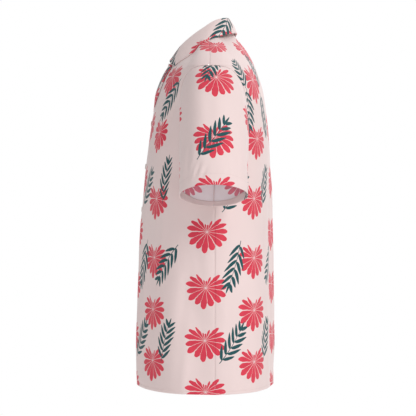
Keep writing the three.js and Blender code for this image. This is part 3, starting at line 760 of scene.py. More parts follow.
def clear_of_panels(point):
    """Lifts points of the collar's fall until they lie clear of the body's face."""
    lifted = point.copy()
    for _ in range(6):
        z = np.minimum(lifted[..., 2], NECK_SIDE_Z)
        angle = np.degrees(np.arctan2(lifted[..., 0], RING_CENTRE_Y - lifted[..., 1]))
        behind = (angle > SHOULDER_SEAM_DEG)[..., None]
        face = np.where(behind, body_point(angle, z), front_point(angle, z))
        normal = np.where(behind, outward(body_point, angle, z), outward(front_point, angle, z))
        height = dot(lifted - face, normal)
        short = (lifted[..., 2:] < NECK_SIDE_Z) & (height < COLLAR_REST)
        lifted += normal * np.where(short, COLLAR_REST - height, 0)
    return lifted


def collar_fold():
    """Points and flat places of the collar, from its free edge over the roll to the seam."""
    stations, steps = 132, 40
    half = steps // 2
    parts = np.linspace(1, -1, stations + 1)
    part = np.abs(parts)
    seam = neck_seam(part)
    roll, edge = (
        np.stack([COLLAR[f"{line}_{axis}"](part) for axis in "xyz"], axis=-1)
        for line in ("roll", "edge")
    )
    from_centre = unit(np.stack([roll[:, 0], roll[:, 1] - RING_CENTRE_Y, 0 * part], axis=-1))
    stand = mix(seam, roll, STAND_PART) - from_centre * (STAND_LEAN * (1 - part))[:, None]
    fall = mix(roll, edge, FALL_PART) + from_centre * COLLAR["bulge"](part)[:, None]
    points = spline_through([seam, stand, roll, fall, edge], steps)
    points[half + 1 :] = clear_of_panels(points[half + 1 :])
    points[..., 0] *= np.where(parts < 0, -1.0, 1.0)
    points = points[::-1]
    u = run_lengths(points[steps - half])
    v = run_lengths(points)
    v = v - v[steps - half]
    cloth = np.stack([np.broadcast_to(u - u[stations // 2], v.shape), v], axis=-1)
    return points + grid_normals(points) * (COLLAR_WALL / 2 - 0.1), cloth


def revere_fold(side):
    """Points and flat places of a turned-back revere, from its inside leg to its edge."""
    surface = front_point if side > 0 else right_front_point
    roll_z = np.linspace(REVERE_LOW_Z, REVERE_TOP_Z, 48)
    roll_x = NECK_EDGE["x"](roll_z)

    def place(x, z, height):
        angle = angle_at_x(surface, side * x, z)
        height = np.broadcast_to(height, roll_z.shape)[..., None]
        return surface(angle, z) + outward(surface, angle, z) * height

    middle = -WALL / 2
    edge = place(roll_x, roll_z, middle)
    into_neck = unit(edge - place(roll_x + 1, roll_z, middle))
    normal = place(roll_x, roll_z, 1.0) - place(roll_x, roll_z, 0.0)
    full = smooth_step((roll_z - REVERE_LOW_Z) / REVERE_FADE)
    radius = mix(REVERE_LOW_RADIUS, REVERE_TURN_RADIUS, full)
    columns = [
        place(roll_x + REVERE_INSIDE * share, roll_z, middle - radius) for share in (1, 0.66, 0.33)
    ]
    for turn in np.linspace(0, np.pi, 13):
        round_roll = into_neck * np.sin(turn) - normal * np.cos(turn)
        columns.append(edge + round_roll * radius[:, None])
    for t in np.linspace(0, 1, 26)[1:]:
        x = mix(roll_x, REVERE["edge_x"](roll_z), t)
        z = mix(roll_z, REVERE["edge_z"](roll_z), t)
        height = mix(radius + middle, WALL / 2 + 2 * SEAM_GAP, t)
        columns.append(place(x, z, height + REVERE_LIFT * full * np.sin(np.pi * t)))
    points = np.stack(columns, axis=1)
    u = run_lengths(points, axis=1)
    u = u - u[:, 9][:, None]
    v = run_lengths(points[:, 20])[:, None] + np.zeros(u.shape)
    if side < 0:
        points, u, v = points[:, ::-1], -u[:, ::-1], v[:, ::-1]
    return points + grid_normals(points) * (WALL / 2 - 0.2), np.stack([u, v], axis=-1)


# Print: places of the flowers and fronds on the flat cloth of each piece, in millimetres:
# across, up, turn in degrees, and size across and up. A flower's place is its heart and a
# frond's is its stalk's end.
FLOWER_ACROSS = 120.0
FIRST_COLUMN_ACROSS = 285.0
COLUMNS = range(-7, 11)
EVEN_ROWS = (-720, -620, -517, -408, -300, -190, -88, 130)
ODD_ROWS = (-665, -563, -460, -343, -224, -97, 22)
HIDDEN_BY_SEAMS = ((0, -88), (1, -97), (1, 22), (2, -88), (-1, -224))
NEAR_COLUMNS = {-1: 156.0, 0: 285.0, 1: 394.0}
COLUMN_LEANS = {-1: -17.0, 1: 10.0}
NEAR_GAPS_LOW = {-1: 188.0, 0: 313.0, 1: 433.0}
NEAR_GAPS_HIGH = {-1: 226.0, 0: 356.0, 1: 505.0}
FALLING_TURNS = (169.0, 138.0)
RISING_TURNS = (-41.0, -10.0)
FALLING_SIZES = (0.95, 0.88)
RISING_SIZES = (0.86, 0.8)
UPPER_FLOWERS = [
    (276, 12, 0, 1, 1),
    (492, -24, 10, 1, 1),
    (406, -104, 14, 1, 1.2),
]
UPPER_FRONDS = [
    (366, -126, 33, 1, 0.75),
    (368, -124, 190, 1, 0.8),
    (446, -121, -14, 0.9, 0.82),
    (450, -127, 186, -1, 0.85),
]
SLEEVE_FLOWERS = [(12, 237, 0, 1.04, 1.2), (3, 97, 0, 1.03, 1.08), (4, -8, 0, 1, 1)]
SLEEVE_FLOWERS += [(side * 137, up, 0, 1.2, 1) for side in (-1, 1) for up in (-68, 50)]
SLEEVE_FLOWERS += [(side * 125, up, 0, 1.15, 1) for side in (-1, 1) for up in (172, 300)]
SLEEVE_FRONDS = [
    (-32, 53, -42, -1, 1.02),
    (14, 321, 171, 0.85, 0.88),
    (184, 250, 139, -1, 1),
    (92, -44, -14, 1, 1),
    (206, 60, -39, -1, 1),
    (-274, 60, -39, -1, 1),
]
COLLAR_FLOWERS = [
    (side * across, up, 0, 1, 1)
    for side in (-1, 1)
    for across, up in ((104, -68), (32, -60), (190, 24))
]
COLLAR_FRONDS = [
    (-24, 10, 137, -1, 1),
    (86, 8, 140, 1, 1),
    (-218, -58, -28, 1, 0.9),
    (212, -66, -28, 1, 0.9),
]
REVERE_FLOWERS = [(18, 30, 0, 1, 1), (-60, 60, 0, 1, 1), (60, 100, 0, 1, 1)]
REVERE_FRONDS = [(40, 110, 160, 1, 1), (-40, -60, 0, 1, 1)]


def column_across(k, up):
    """Where a column of flowers lies: the ones beside the front lean in over the chest."""
    across = NEAR_COLUMNS.get(k, FIRST_COLUMN_ACROSS + FLOWER_ACROSS * k)
    return across + COLUMN_LEANS.get(k, 0.0) * float(smooth_step((up + 330) / 130))


def body_flowers():
    places = list(UPPER_FLOWERS)
    for k in COLUMNS:
        for up in ODD_ROWS if k % 2 else EVEN_ROWS:
            if (k, up) not in HIDDEN_BY_SEAMS:
                places.append((column_across(k, up), up, 0, 1, 1))
    places.append((column_across(-1, -224) - 3, -210, 0, 0.72, 1))
    return places


def body_fronds():
    """Each column's gap has a falling frond and rising ones, mirrored from gap to gap."""
    places = list(UPPER_FRONDS)
    for k in COLUMNS:
        middle = FIRST_COLUMN_ACROSS + FLOWER_ACROSS * k
        high = NEAR_GAPS_HIGH.get(k, middle + 71)
        low = NEAR_GAPS_LOW.get(k, middle + 29)
        odd = k % 2
        mirror = -1 if odd else 1
        falling = (FALLING_TURNS[odd], mirror, FALLING_SIZES[odd])
        rising = (RISING_TURNS[odd], -mirror, RISING_SIZES[odd])
        places.append((high, -425 - 8 * odd, *falling))
        if k not in (-2, 0, 1):
            places.append((high - 40 if k == -1 else high, -106, *falling))
        places.append((low, -664, *rising))
        if k == -1:
            places.append((181, -352, 2, 0.8, 0.86))
        elif k == 0:
            places.append((low, -369, *rising))
        else:
            places.append((low, -358, *rising))
    return places


def turned(flat, degrees):
    radians = np.radians(degrees)
    cosine, sine = np.cos(radians), np.sin(radians)
    x = flat[..., 0] * cosine - flat[..., 1] * sine
    y = flat[..., 0] * sine + flat[..., 1] * cosine
    return np.stack([x, y], axis=-1)


def nearest_places(centres, places, offset, reach):
    """For each face, which motif's place is nearest, with a longer reach along fronds."""
    distances = []
    for across, up, turn, *size in places:
        local = turned(centres - np.array([across, up]), -turn) / np.array(size)
        distances.append(np.hypot(local[:, 0] / reach[0], (local[:, 1] - offset) / reach[1]))
    return np.argmin(distances, axis=0)


def write_map(mesh, name, values):
    layer = mesh.uv_layers.new(name=name)
    layer.uv.foreach_set("vector", np.ascontiguousarray(values, dtype=np.float32).ravel())


def mesh_from(name, bm):
    mesh = bpy.data.meshes.new(name)
    bm.to_mesh(mesh)
    bm.free()
    return mesh


def add_object(name, data):
    made = bpy.data.objects.new(name, data)
    bpy.context.scene.collection.objects.link(made)
    return made


def cloth_piece(name, points, cloth, flowers, fronds):
    """A piece of cloth on a grid, with its flat place and its motifs' places as UV maps."""
    rows, columns = points.shape[:2]
    bm = bmesh.new()
    bmesh.ops.create_grid(bm, x_segments=columns - 1, y_segments=rows - 1, size=0.5)
    for vert in bm.verts:
        i = round((vert.co.x + 0.5) * (columns - 1))
        j = round((vert.co.y + 0.5) * (rows - 1))
        vert.co = points[j, i] * MM
        vert.index = j * columns + i
    order = np.array([vert.index for vert in bm.verts])
    for face in bm.faces:
        face.smooth = True
    mesh = mesh_from(name, bm)
    corner = np.empty(len(mesh.loops), int)
    mesh.loops.foreach_get("vertex_index", corner)
    flat = cloth.reshape(-1, 2)[order][corner]
    write_map(mesh, "cloth", flat * MM)
    centres = flat.reshape(-1, 4, 2).mean(axis=1)
    for layer, places, offset, reach in (
        ("flowers", flowers, 0.0, (1.0, 1.0)),
        ("fronds", fronds, 52.0, (1.0, 1.9)),
    ):
        which = np.repeat(nearest_places(centres, places, offset, reach), 4)
        chosen = np.array(places, float)[which]
        local = turned(flat - chosen[:, :2], -chosen[:, 2]) / chosen[:, 3:]
        write_map(mesh, layer, local * MM)
    return add_object(name, mesh)


class Number:
    """A number worked out in a node tree: arithmetic on it adds the nodes for the result."""

    def __init__(self, recipe, socket):
        self.recipe = recipe
        self.socket = socket

    def __add__(self, other):
        return self.recipe.math("ADD", self, other)

    def __sub__(self, other):
        return self.recipe.math("SUBTRACT", self, other)

    def __rsub__(self, other):
        return self.recipe.math("SUBTRACT", other, self)

    def __mul__(self, other):
        return self.recipe.math("MULTIPLY", self, other)

    def __truediv__(self, other):
        return self.recipe.math("DIVIDE", self, other)

    def __rtruediv__(self, other):
        return self.recipe.math("DIVIDE", other, self)

    def __pow__(self, other):
        return self.recipe.math("POWER", self, other)

    def __abs__(self):
        return self.recipe.math("ABSOLUTE", self)

    def within(self, low, high):
        return self.recipe.math("MAXIMUM", self.recipe.math("MINIMUM", self, high), low)


class Recipe:
    """Writes numbers, textures and colours as the nodes of one node tree."""

    def __init__(self, tree):
        self.tree = tree

    def node(self, kind, inputs=(), **settings):
        made = self.tree.nodes.new(kind)
        for name, value in settings.items():
            setattr(made, name, value)
        for name, value in dict(inputs).items():
            self.feed(made.inputs[name], value)
        return made

    def feed(self, socket, value):
        if isinstance(value, Number):
            value = value.socket
        if isinstance(value, bpy.types.NodeSocket):
            self.tree.links.new(value, socket)
        else:
            socket.default_value = value

    def math(self, operation, *values):
        made = self.node("ShaderNodeMath", enumerate(values), operation=operation)
        return Number(self, made.outputs[0])

    def ramp(self, value, low, high, at_low, at_high, kind="LINEAR"):
        names = ("Value", "From Min", "From Max", "To Min", "To Max")
        inputs = zip(names, (value, low, high, at_low, at_high))
        made = self.node("ShaderNodeMapRange", inputs, interpolation_type=kind, clamp=True)
        return Number(self, made.outputs["Result"])

    def blend(self, share, first, second):
        inputs = {0: share, 6: first, 7: second}
        return self.node("ShaderNodeMix", inputs, data_type="RGBA").outputs[2]

    def flat_map(self, layer):
        return self.node("ShaderNodeUVMap", uv_map=layer).outputs[0]

    def flat_place(self, layer):
        """A UV map's place in millimetres, as two numbers, and the map itself."""
        place = self.flat_map(layer)
        x, y, _ = self.node("ShaderNodeSeparateXYZ", {0: place}).outputs
        return Number(self, x) * 1000.0, Number(self, y) * 1000.0, place

    def noise(self, vector, scale, detail=2.0, dimensions="2D"):
        inputs = {"Vector": vector, "Scale": scale, "Detail": detail}
        made = self.node("ShaderNodeTexNoise", inputs, noise_dimensions=dimensions)
        return Number(self, made.outputs[0])

    def chance(self, number):
        """One number from 0 to 1 for each whole number, always the same."""
        made = self.node("ShaderNodeTexWhiteNoise", {"W": number}, noise_dimensions="1D")
        return Number(self, made.outputs["Value"])

    def bump(self, height, strength, distance):
        inputs = {"Strength": strength, "Distance": distance, "Height": height}
        return self.node("ShaderNodeBump", inputs).outputs[0]


# Flower: sizes in millimetres, from the uppermost petals to the lowest where there are two
PETALS = 16
PETAL_CROWDING = 0.22
PETAL_LENGTHS = (15.0, 40.0)
PETAL_WIDTHS = (3.9, 6.3)
PETAL_BLUNTNESS = (1.15, 7.0)
PETAL_FEET = (0.6, 1.2)
FLOWER_WAVER = 2.2
FLOWER_WAVER_SCALES = (160.0, 95.0)
FLOWER_RADIUS = 40.0
PETAL_CURL = 0.10
PETAL_TURN = 0.09
PETAL_SWAY = 0.05
PETAL_SWELL = 1.3
PETAL_FOOT_SHAPE = 0.36
PETAL_GAP = 0.22
LENGTH_LUCK = 5.0
WIDTH_LUCK = 0.9
EDGE_SOFTNESS = 0.35
EDGE_TRIM = 0.25

# Frond, with sizes in millimetres
FROND_STALK = 12.0
FROND_LENGTH = 98.0
FROND_BEND = 0.0009
FROND_WAVER = 1.2
STEM_HALF_WIDTHS = (0.75, 0.4)
LEAFLET_STEP = 16.0
LEAFLET_COUNT = 6
LEAFLET_SLANT = 0.8
LEAFLET_CURL = 0.028
LEAFLET_OFFSET = 1.6
LEAFLET_REACH = 32.5
LONGEST_LEAFLET = 1.8
LEAFLET_WIDTH = 9.0
TIP_LEAF_FROM = 87.0
TIP_LEAF_LENGTH = 27.0
TIP_LEAF_WIDTH = 6.6


def flower_mask(r):
    """1 inside the petals of a flower whose heart is at the map's origin."""
    x, y, place = r.flat_place("flowers")
    waver, sway = (r.noise(place, scale) - 0.5 for scale in FLOWER_WAVER_SCALES)
    x = x + waver * FLOWER_WAVER
    y = y + sway * FLOWER_WAVER
    radius = r.math("SQRT", x * x + y * y)
    from_foot = r.math("ARCTAN2", x, y * -1.0)
    curl = r.math("SINE", from_foot) * PETAL_CURL * (radius / FLOWER_RADIUS)
    from_foot = from_foot + curl
    even = from_foot - r.math("SINE", from_foot) * PETAL_CROWDING + PETAL_TURN
    step = 2 * math.pi / PETALS
    number = r.math("ROUND", even / step)
    crowding = 1.0 - r.math("COSINE", from_foot) * PETAL_CROWDING
    own = r.math("FLOORED_MODULO", number, float(PETALS))
    luck = r.chance(own + 3.0) - 0.5
    luck_too = r.chance(own + 31.0) - 0.5
    off = (even - number * step) / crowding + luck_too * PETAL_SWAY
    from_top = math.pi - abs(from_foot - off)
    length = r.ramp(from_top, 0.05, 0.95, *PETAL_LENGTHS, "SMOOTHSTEP") + luck * LENGTH_LUCK
    widest = r.ramp(from_top, 0.25, 2.4, *PETAL_WIDTHS) + luck_too * WIDTH_LUCK
    blunt = r.ramp(from_top, 0.5, 2.0, *PETAL_BLUNTNESS)
    foot = r.ramp(from_top, 0.0, 1.2, *PETAL_FEET)
    along = radius * r.math("COSINE", off)
    beside = abs(radius * r.math("SINE", off))
    t = ((along - foot) / (length - foot)).within(0.0, 1.0)
    taper = r.math("SQRT", r.math("MAXIMUM", 1.0 - t**blunt, 0.0))
    shape = widest * PETAL_SWELL * (t**PETAL_FOOT_SHAPE * taper) - EDGE_TRIM
    room = (step / 2 / crowding - 0.012) * radius - PETAL_GAP
    return soft_edge(r, r.math("MINIMUM", shape, room) - beside)


def frond_mask(r):
    """1 inside the leaflets and stem of a frond whose stalk starts at the map's origin."""
    x, y, place = r.flat_place("fronds")
    x = x + (r.noise(place, 120.0) - 0.5) * FROND_WAVER - y * y * FROND_BEND
    side = r.math("SIGN", x)
    out = abs(x)
    slope = out * (2 * LEAFLET_CURL) + LEAFLET_SLANT
    climb = out * LEAFLET_SLANT + out * out * LEAFLET_CURL
    start = y - FROND_STALK - climb + side * LEAFLET_OFFSET
    number = r.math("ROUND", start / LEAFLET_STEP).within(0.0, LEAFLET_COUNT - 1.0)
    luck = r.chance(number + side * 19.0) - 0.5
    beside = abs((start - number * LEAFLET_STEP) / r.math("SQRT", slope * slope + 1.0))
    shorter = ((number - LONGEST_LEAFLET) / 3.2) ** 2.0 * 12.0
    reach = LEAFLET_REACH - shorter + luck * LENGTH_LUCK
    t = (out * 1.58 / reach).within(0.0, 1.0)
    leaflets = t**0.5 * (1.0 - t) ** 0.75 * LEAFLET_WIDTH - EDGE_TRIM - beside
    tip = ((y - TIP_LEAF_FROM) / TIP_LEAF_LENGTH).within(0.0, 1.0)
    tip_leaf = tip**0.5 * (1.0 - tip) ** 0.85 * TIP_LEAF_WIDTH - EDGE_TRIM - out
    on_stem = r.math("GREATER_THAN", y, 0.0) * r.math("LESS_THAN", y, FROND_LENGTH)
    stem = r.ramp(y, 0.0, 100.0, *STEM_HALF_WIDTHS) - out - (1.0 - on_stem) * 50.0
    leaves = r.math("MAXIMUM", leaflets, tip_leaf)
    return soft_edge(r, r.math("MAXIMUM", leaves, stem))


def soft_edge(r, inside):
    return r.ramp(inside, -EDGE_SOFTNESS / 2, EDGE_SOFTNESS / 2, 0.0, 1.0)


def print_motifs():
    """The flowers and the fronds as one node group, which the face and the reverse share."""
    name = "shirt print"
    if name in bpy.data.node_groups:
        return bpy.data.node_groups[name]
    tree = bpy.data.node_groups.new(name, "ShaderNodeTree")
    for motif in ("Flower", "Frond"):
        tree.interface.new_socket(motif, in_out="OUTPUT", socket_type="NodeSocketFloat")
    r = Recipe(tree)
    outlet = r.node("NodeGroupOutput")
    r.feed(outlet.inputs["Flower"], flower_mask(r))
    r.feed(outlet.inputs["Frond"], frond_mask(r))
    return tree


WEAVE_SCALE = 700.0


def weave(r):
    """Height of a fine plain weave with uneven threads."""
    place = r.flat_map("cloth")
    inputs = {"Vector": place, "Scale": WEAVE_SCALE, "Distortion": 1.5, "Detail": 1.0}
    across, along = (
        r.node("ShaderNodeTexWave", inputs, wave_type="BANDS", bands_direction=way)
        for way in ("X", "Y")
    )
    return (Number(r, across.outputs["Fac"]) + Number(r, along.outputs["Fac"])) * 0.5


CLOTH_FINISH = {
    "Roughness": 0.78,
    "Specular IOR Level": 0.25,
    "Sheen Weight": 0.25,
    "Sheen Roughness": 0.45,
}
REVERSE_FINISH = CLOTH_FINISH | {
    "Subsurface Weight": 0.6,
    "Subsurface Radius": (1.0, 1.0, 1.0),
    "Subsurface Scale": 0.001,
}
FLOOR_FINISH = {
    "Base Color": (0.93, 0.93, 0.93, 1),
    "Roughness": 0.9,
    "Specular IOR Level": 0.1,
}


def new_material(name, finish):
    """A material with its shader's even values set, its recipe and its shader."""
    material = bpy.data.materials.new(name)
    material.use_nodes = True
    shader = material.node_tree.nodes["Principled BSDF"]
    for socket, value in finish.items():
        shader.inputs[socket].default_value = value
    return material, Recipe(material.node_tree), shader


def darker(colour, share):
    return (*(c * share for c in colour[:3]), 1.0)


def cloth_material(context, reverse):
    """Printed cloth: its face, or its paler reverse with the print showing through."""
    name = "printed reverse" if reverse else "printed face"
    if name in bpy.data.materials:
        return bpy.data.materials[name]
    settings = context.scene.shirt_print
    finish = REVERSE_FINISH if reverse else CLOTH_FINISH
    material, r, shader = new_material(name, finish)
    ground, flower, frond = settings.ground_colour, settings.flower_colour, settings.frond_colour
    if reverse:
        ground, flower = settings.reverse_colour, settings.flower_ghost
        frond = settings.frond_ghost
    motifs = r.node("ShaderNodeGroup", node_tree=print_motifs()).outputs
    threads = weave(r)
    mottle = r.ramp(r.noise(r.flat_map("cloth"), 9.0, 3.0), 0.3, 0.7, 0.0, 0.5)
    petal_tone = r.ramp(r.noise(r.flat_map("flowers"), 60.0, 3.0), 0.35, 0.65, 0.0, 0.7)
    cloth = r.blend(mottle, tuple(ground), darker(ground, 0.97))
    petals = r.blend(petal_tone, tuple(flower), darker(flower, 0.86))
    colour = r.blend(motifs["Flower"], cloth, petals)
    colour = r.blend(motifs["Frond"], colour, tuple(frond))
    shade = r.ramp(threads, 0.0, 1.0, 0.0, 0.06)
    r.feed(shader.inputs["Base Color"], r.blend(shade, colour, (0.35, 0.3, 0.3, 1.0)))
    r.feed(shader.inputs["Normal"], r.bump(threads, 0.25, 0.0001))
    return material


def plain_material(name, colour, roughness, grain, grain_scale):
    """A lightly mottled material on object coordinates, for buttons and thread."""
    if name in bpy.data.materials:
        return bpy.data.materials[name]
    material, r, shader = new_material(name, {"Roughness": roughness})
    place = r.node("ShaderNodeTexCoord").outputs["Object"]
    noise = r.noise(place, grain_scale, 4.0, "3D")
    mottled = r.blend(noise, tuple(colour), darker(colour, 1 - grain))
    r.feed(shader.inputs["Base Color"], mottled)
    r.feed(shader.inputs["Normal"], r.bump(noise, 0.15, 0.0002))
    return material


def thread_material(context):
    colour = context.scene.shirt_buttons.thread_colour
    return plain_material("sewing thread", colour, 0.7, 0.2, 2500.0)


def make_cloth(context, node, grid, motifs, double=False):
    """Makes the cloth that takes a solid's place, and ties it to the frame."""
    settings = context.scene.shirt_cloth
    piece = cloth_piece(node + "_cloth", *grid, *motifs)
    solid = piece.modifiers.new("cloth thickness", "SOLIDIFY")
    solid.thickness = settings.collar_thickness if double else settings.thickness
    solid.offset = -1.0
    solid.use_rim = True
    piece.data.materials.append(cloth_material(context, False))
    if not double:
        piece.data.materials.append(cloth_material(context, True))
        solid.material_offset = 1
    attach(piece, "root")
    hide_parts(node)


def length_setting(name, description, default):
    return FloatProperty(name=name, description=description, default=default, unit="LENGTH")


def colour_setting(name, description, *default):
    return FloatVectorProperty(
        name=name, description=description, default=(*default, 1), size=4, subtype="COLOR"
    )


class ShirtCloth(bpy.types.PropertyGroup):
    thickness: length_setting("Cloth thickness", "Thickness of one layer of cloth", 0.0006)
    collar_thickness: length_setting(
        "Collar thickness", "Thickness of the collar's layers together", 0.0014
    )


class ShirtPrint(bpy.types.PropertyGroup):
    ground_colour: colour_setting("Ground", "Pale pink of the cloth", 0.86, 0.70, 0.685)
    flower_colour: colour_setting("Flowers", "Coral red of the flowers", 0.76, 0.045, 0.085)
    frond_colour: colour_setting("Fronds", "Dark teal of the fronds", 0.006, 0.08, 0.09)
    reverse_colour: colour_setting("Reverse", "Pale reverse of the cloth", 0.93, 0.87, 0.90)
    flower_ghost: colour_setting(
        "Flowers showing through", "The flowers seen from the reverse", 0.82, 0.25, 0.33
    )
    frond_ghost: colour_setting(
        "Fronds showing through", "The fronds seen from the reverse", 0.30, 0.36, 0.39
    )


class ShirtButtons(bpy.types.PropertyGroup):
    radius: length_setting("Radius", "Radius of a button", 0.00575)
    thickness: length_setting("Thickness", "Thickness of a button", 0.0018)
    hole_spacing: length_setting("Hole spacing", "Distance between a button's holes", 0.0026)
    buttonhole: length_setting("Buttonhole", "Length of a buttonhole", 0.0145)
    colour: colour_setting("Colour", "Pale shell of the buttons", 0.88, 0.80, 0.76)
    thread_colour: colour_setting("Thread", "Sewing thread", 0.80, 0.62, 0.61)
    count: IntProperty(
        name="Buttons", description="Buttons down the front", default=BUTTON_COUNT, min=1
    )


class ShirtSewing(bpy.types.PropertyGroup):
    hem: length_setting("Hem", "Height of the sewing above the hem", 0.006)
    sleeve_hem: length_setting("Sleeve hem", "From a sleeve's hem to its sewing", 0.019)
    pitch: length_setting("Stitch pitch", "From one stitch to the next", 0.0028)
    length: length_setting("Stitch length", "Length of one stitch", 0.0021)


class ShirtStage(bpy.types.PropertyGroup):
    floor_drop: length_setting("Floor drop", "How far the floor lies below the hem", 0.45)
    floor_radius: length_setting("Floor radius", "Radius of the round floor", 2.2)
    key_power: FloatProperty(
        name="Key light", description="Power of the large soft light", default=67.0
    )
    soft_light: FloatProperty(
        name="Soft light", description="Light that comes evenly from all sides", default=0.45
    )


# The camera's place is in metres, and its focal length is in pixels of a 416 pixel picture
CAMERA_PLACE = (2.9, 0.0063, -0.361)
FOCAL_PIXELS = 1381.0
PICTURE_PIXELS = 416.0
SENSOR = 36.0
LIGHTS_AIM = Vector((0, 0, -0.36))

# Each light's name, place, size, share of the key light's power, and colour
LIGHTS = (
    ("key light", (2.3, 2.2, 1.7), 1.5, 1.0, (1.0, 0.985, 0.975)),
    ("fill light", (2.8, -0.3, -0.9), 1.6, 0.17, (1.0, 0.99, 0.99)),
    ("front light", (0.5, -3.0, 0.5), 2.0, 0.12, (1.0, 0.99, 0.98)),
    ("back light", (-2.4, 0.6, 1.2), 2.4, 0.8, (1.0, 1.0, 1.0)),
)


def add_camera(context):
    data = bpy.data.cameras.new("camera")
    data.sensor_width = SENSOR
    data.lens = FOCAL_PIXELS / PICTURE_PIXELS * SENSOR
    data.clip_end = 50.0
    camera = add_object("camera", data)
    camera.location = CAMERA_PLACE
    camera.rotation_euler = (math.radians(90), 0, math.radians(90))
    context.scene.camera = camera


def add_floor(settings):
    bm = bmesh.new()
    bmesh.ops.create_circle(bm, cap_ends=True, segments=96, radius=settings.floor_radius)
    for vert in bm.verts:
        vert.co.z = HEM_Z * MM - settings.floor_drop
    floor = add_object("floor", mesh_from("floor", bm))
    floor.data.materials.append(new_material("pale floor", FLOOR_FINISH)[0])


def add_lights(context, settings):
    for name, place, size, share, colour in LIGHTS:
        data = bpy.data.lights.new(name, "AREA")
        data.energy = settings.key_power * share
        data.size = size
        data.color = colour
        light = add_object(name, data)
        light.location = place
        aim = LIGHTS_AIM - Vector(place)
        light.rotation_euler = aim.to_track_quat("-Z", "Y").to_euler()
    world = bpy.data.worlds.new("surroundings")
    world.use_nodes = True
    r = Recipe(world.node_tree)
    background = world.node_tree.nodes["Background"]
    background.inputs["Color"].default_value = (1, 1, 1, 1)
    seen = r.node("ShaderNodeLightPath").outputs["Is Camera Ray"]
    r.feed(background.inputs["Strength"], r.ramp(seen, 0.0, 1.0, settings.soft_light, 1.0))
    context.scene.world = world
    context.scene.view_settings.view_transform = "Standard"


class SHIRT_OT_stage(bpy.types.Operator):
    """Set the camera, the pale floor and the soft lights"""

    bl_idname = "shirt.stage"
    bl_label = "Stage"

    def execute(self, context):
        add_camera(context)
        add_floor(context.scene.shirt_stage)
        add_lights(context, context.scene.shirt_stage)
        return {"FINISHED"}


class SHIRT_OT_body(bpy.types.Operator):
    """Make the two fronts and the back"""

    bl_idname = "shirt.body"
    bl_label = "Fronts and Back"

    def execute(self, context):
        motifs = body_flowers(), body_fronds()
        for name, panel, flat, area in (
            ("front_left", front_panel(1), (0.34, 0.82), 0.21),
            ("front_right", front_panel(-1), (0.34, 0.82), 0.21),
            ("back", back_panel(), (0.60, 0.82), 0.385),
        ):
            make_cloth(context, name, panel, motifs)
        return {"FINISHED"}


class SHIRT_OT_sleeves(bpy.types.Operator):
    """Make the two sleeves"""

    bl_idname = "shirt.sleeves"
    bl_label = "Sleeves"

    def execute(self, context):
        left = left_sleeve()
        motifs = SLEEVE_FLOWERS, SLEEVE_FRONDS
        for side, sleeve in (("left", left), ("right", mirrored(*left))):
            name, rests_on = f"sleeve_{side}", [f"front_{side}", "back"]
            make_cloth(context, name, sleeve, motifs)
        return {"FINISHED"}


class SHIRT_OT_collar(bpy.types.Operator):
    """Make the collar"""

    bl_idname = "shirt.collar"
    bl_label = "Collar"

    def execute(self, context):
        fold, motifs = collar_fold(), (COLLAR_FLOWERS, COLLAR_FRONDS)
        make_cloth(context, "collar", fold, motifs, double=True)
        return {"FINISHED"}


class SHIRT_OT_reveres(bpy.types.Operator):
    """Make the reveres, the turned-back part of the front facings"""

    bl_idname = "shirt.reveres"
    bl_label = "Reveres"

    def execute(self, context):
        for name, side, front in (
            ("facing_left", 1, "front_left"),
            ("facing_right", -1, "front_right"),
        ):
            fold, motifs = revere_fold(side), (REVERE_FLOWERS, REVERE_FRONDS)
            make_cloth(context, name, fold, motifs)
        return {"FINISHED"}


# Half outline of a button from its middle out, in its own radius and thickness
BUTTON_OUTLINE = [
    (0.0, 0.62),
    (0.42, 0.62),
    (0.56, 0.72),
    (0.66, 0.95),
    (0.80, 1.0),
    (0.93, 0.90),
    (1.0, 0.62),
    (1.0, 0.42),
    (0.93, 0.14),
    (0.78, 0.0),
    (0.0, 0.0),
]
HOLE_PLACES = [(-1, -1), (1, -1), (-1, 1), (1, 1)]
HOLE_RADIUS_SHARE = 0.27

# Sewing of the buttons and the buttonholes, in metres
THREAD_SPREAD = 0.00028
THREAD_LIFT = 0.0002
THREAD_THICKNESS = 0.0004
BUTTONHOLE_STITCHES = 26
BUTTONHOLE_HALF_WIDTH = 0.0008
BAR_STITCHES = 5
BAR_PITCH = 0.0006
HOLE_STITCH_THICKNESS = 0.0005
QUARTER_TURN = Matrix.Rotation(math.pi / 2, 4, "Z")

# Sewing of the hems, in millimetres
HEM_STITCH_THICKNESS = 0.45
HEM_STITCH_LIFT = 0.05
ROW_BELOW_STITCHES = 1.5
SEAM_COLUMNS = 8


def new_piece(name, bm, material):
    for face in bm.faces:
        face.smooth = True
    piece = add_object(name, mesh_from(name, bm))
    piece.data.materials.append(material)
    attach(piece, "root")
    return piece


def seat_on_front(z, height):
    """A frame on the left front at the centre line: across, up and out of the cloth."""
    angle = angle_at_x(front_point, 0.0, z)
    out = Vector(outward(front_point, angle, z)).normalized()
    up = Vector((0, 0, 1))
    up = (up - out * up.dot(out)).normalized()
    turn = Matrix((up.cross(out), up, out)).transposed().to_4x4()
    turn.translation = (Vector(front_point(angle, z)) + out * height) * MM
    return turn


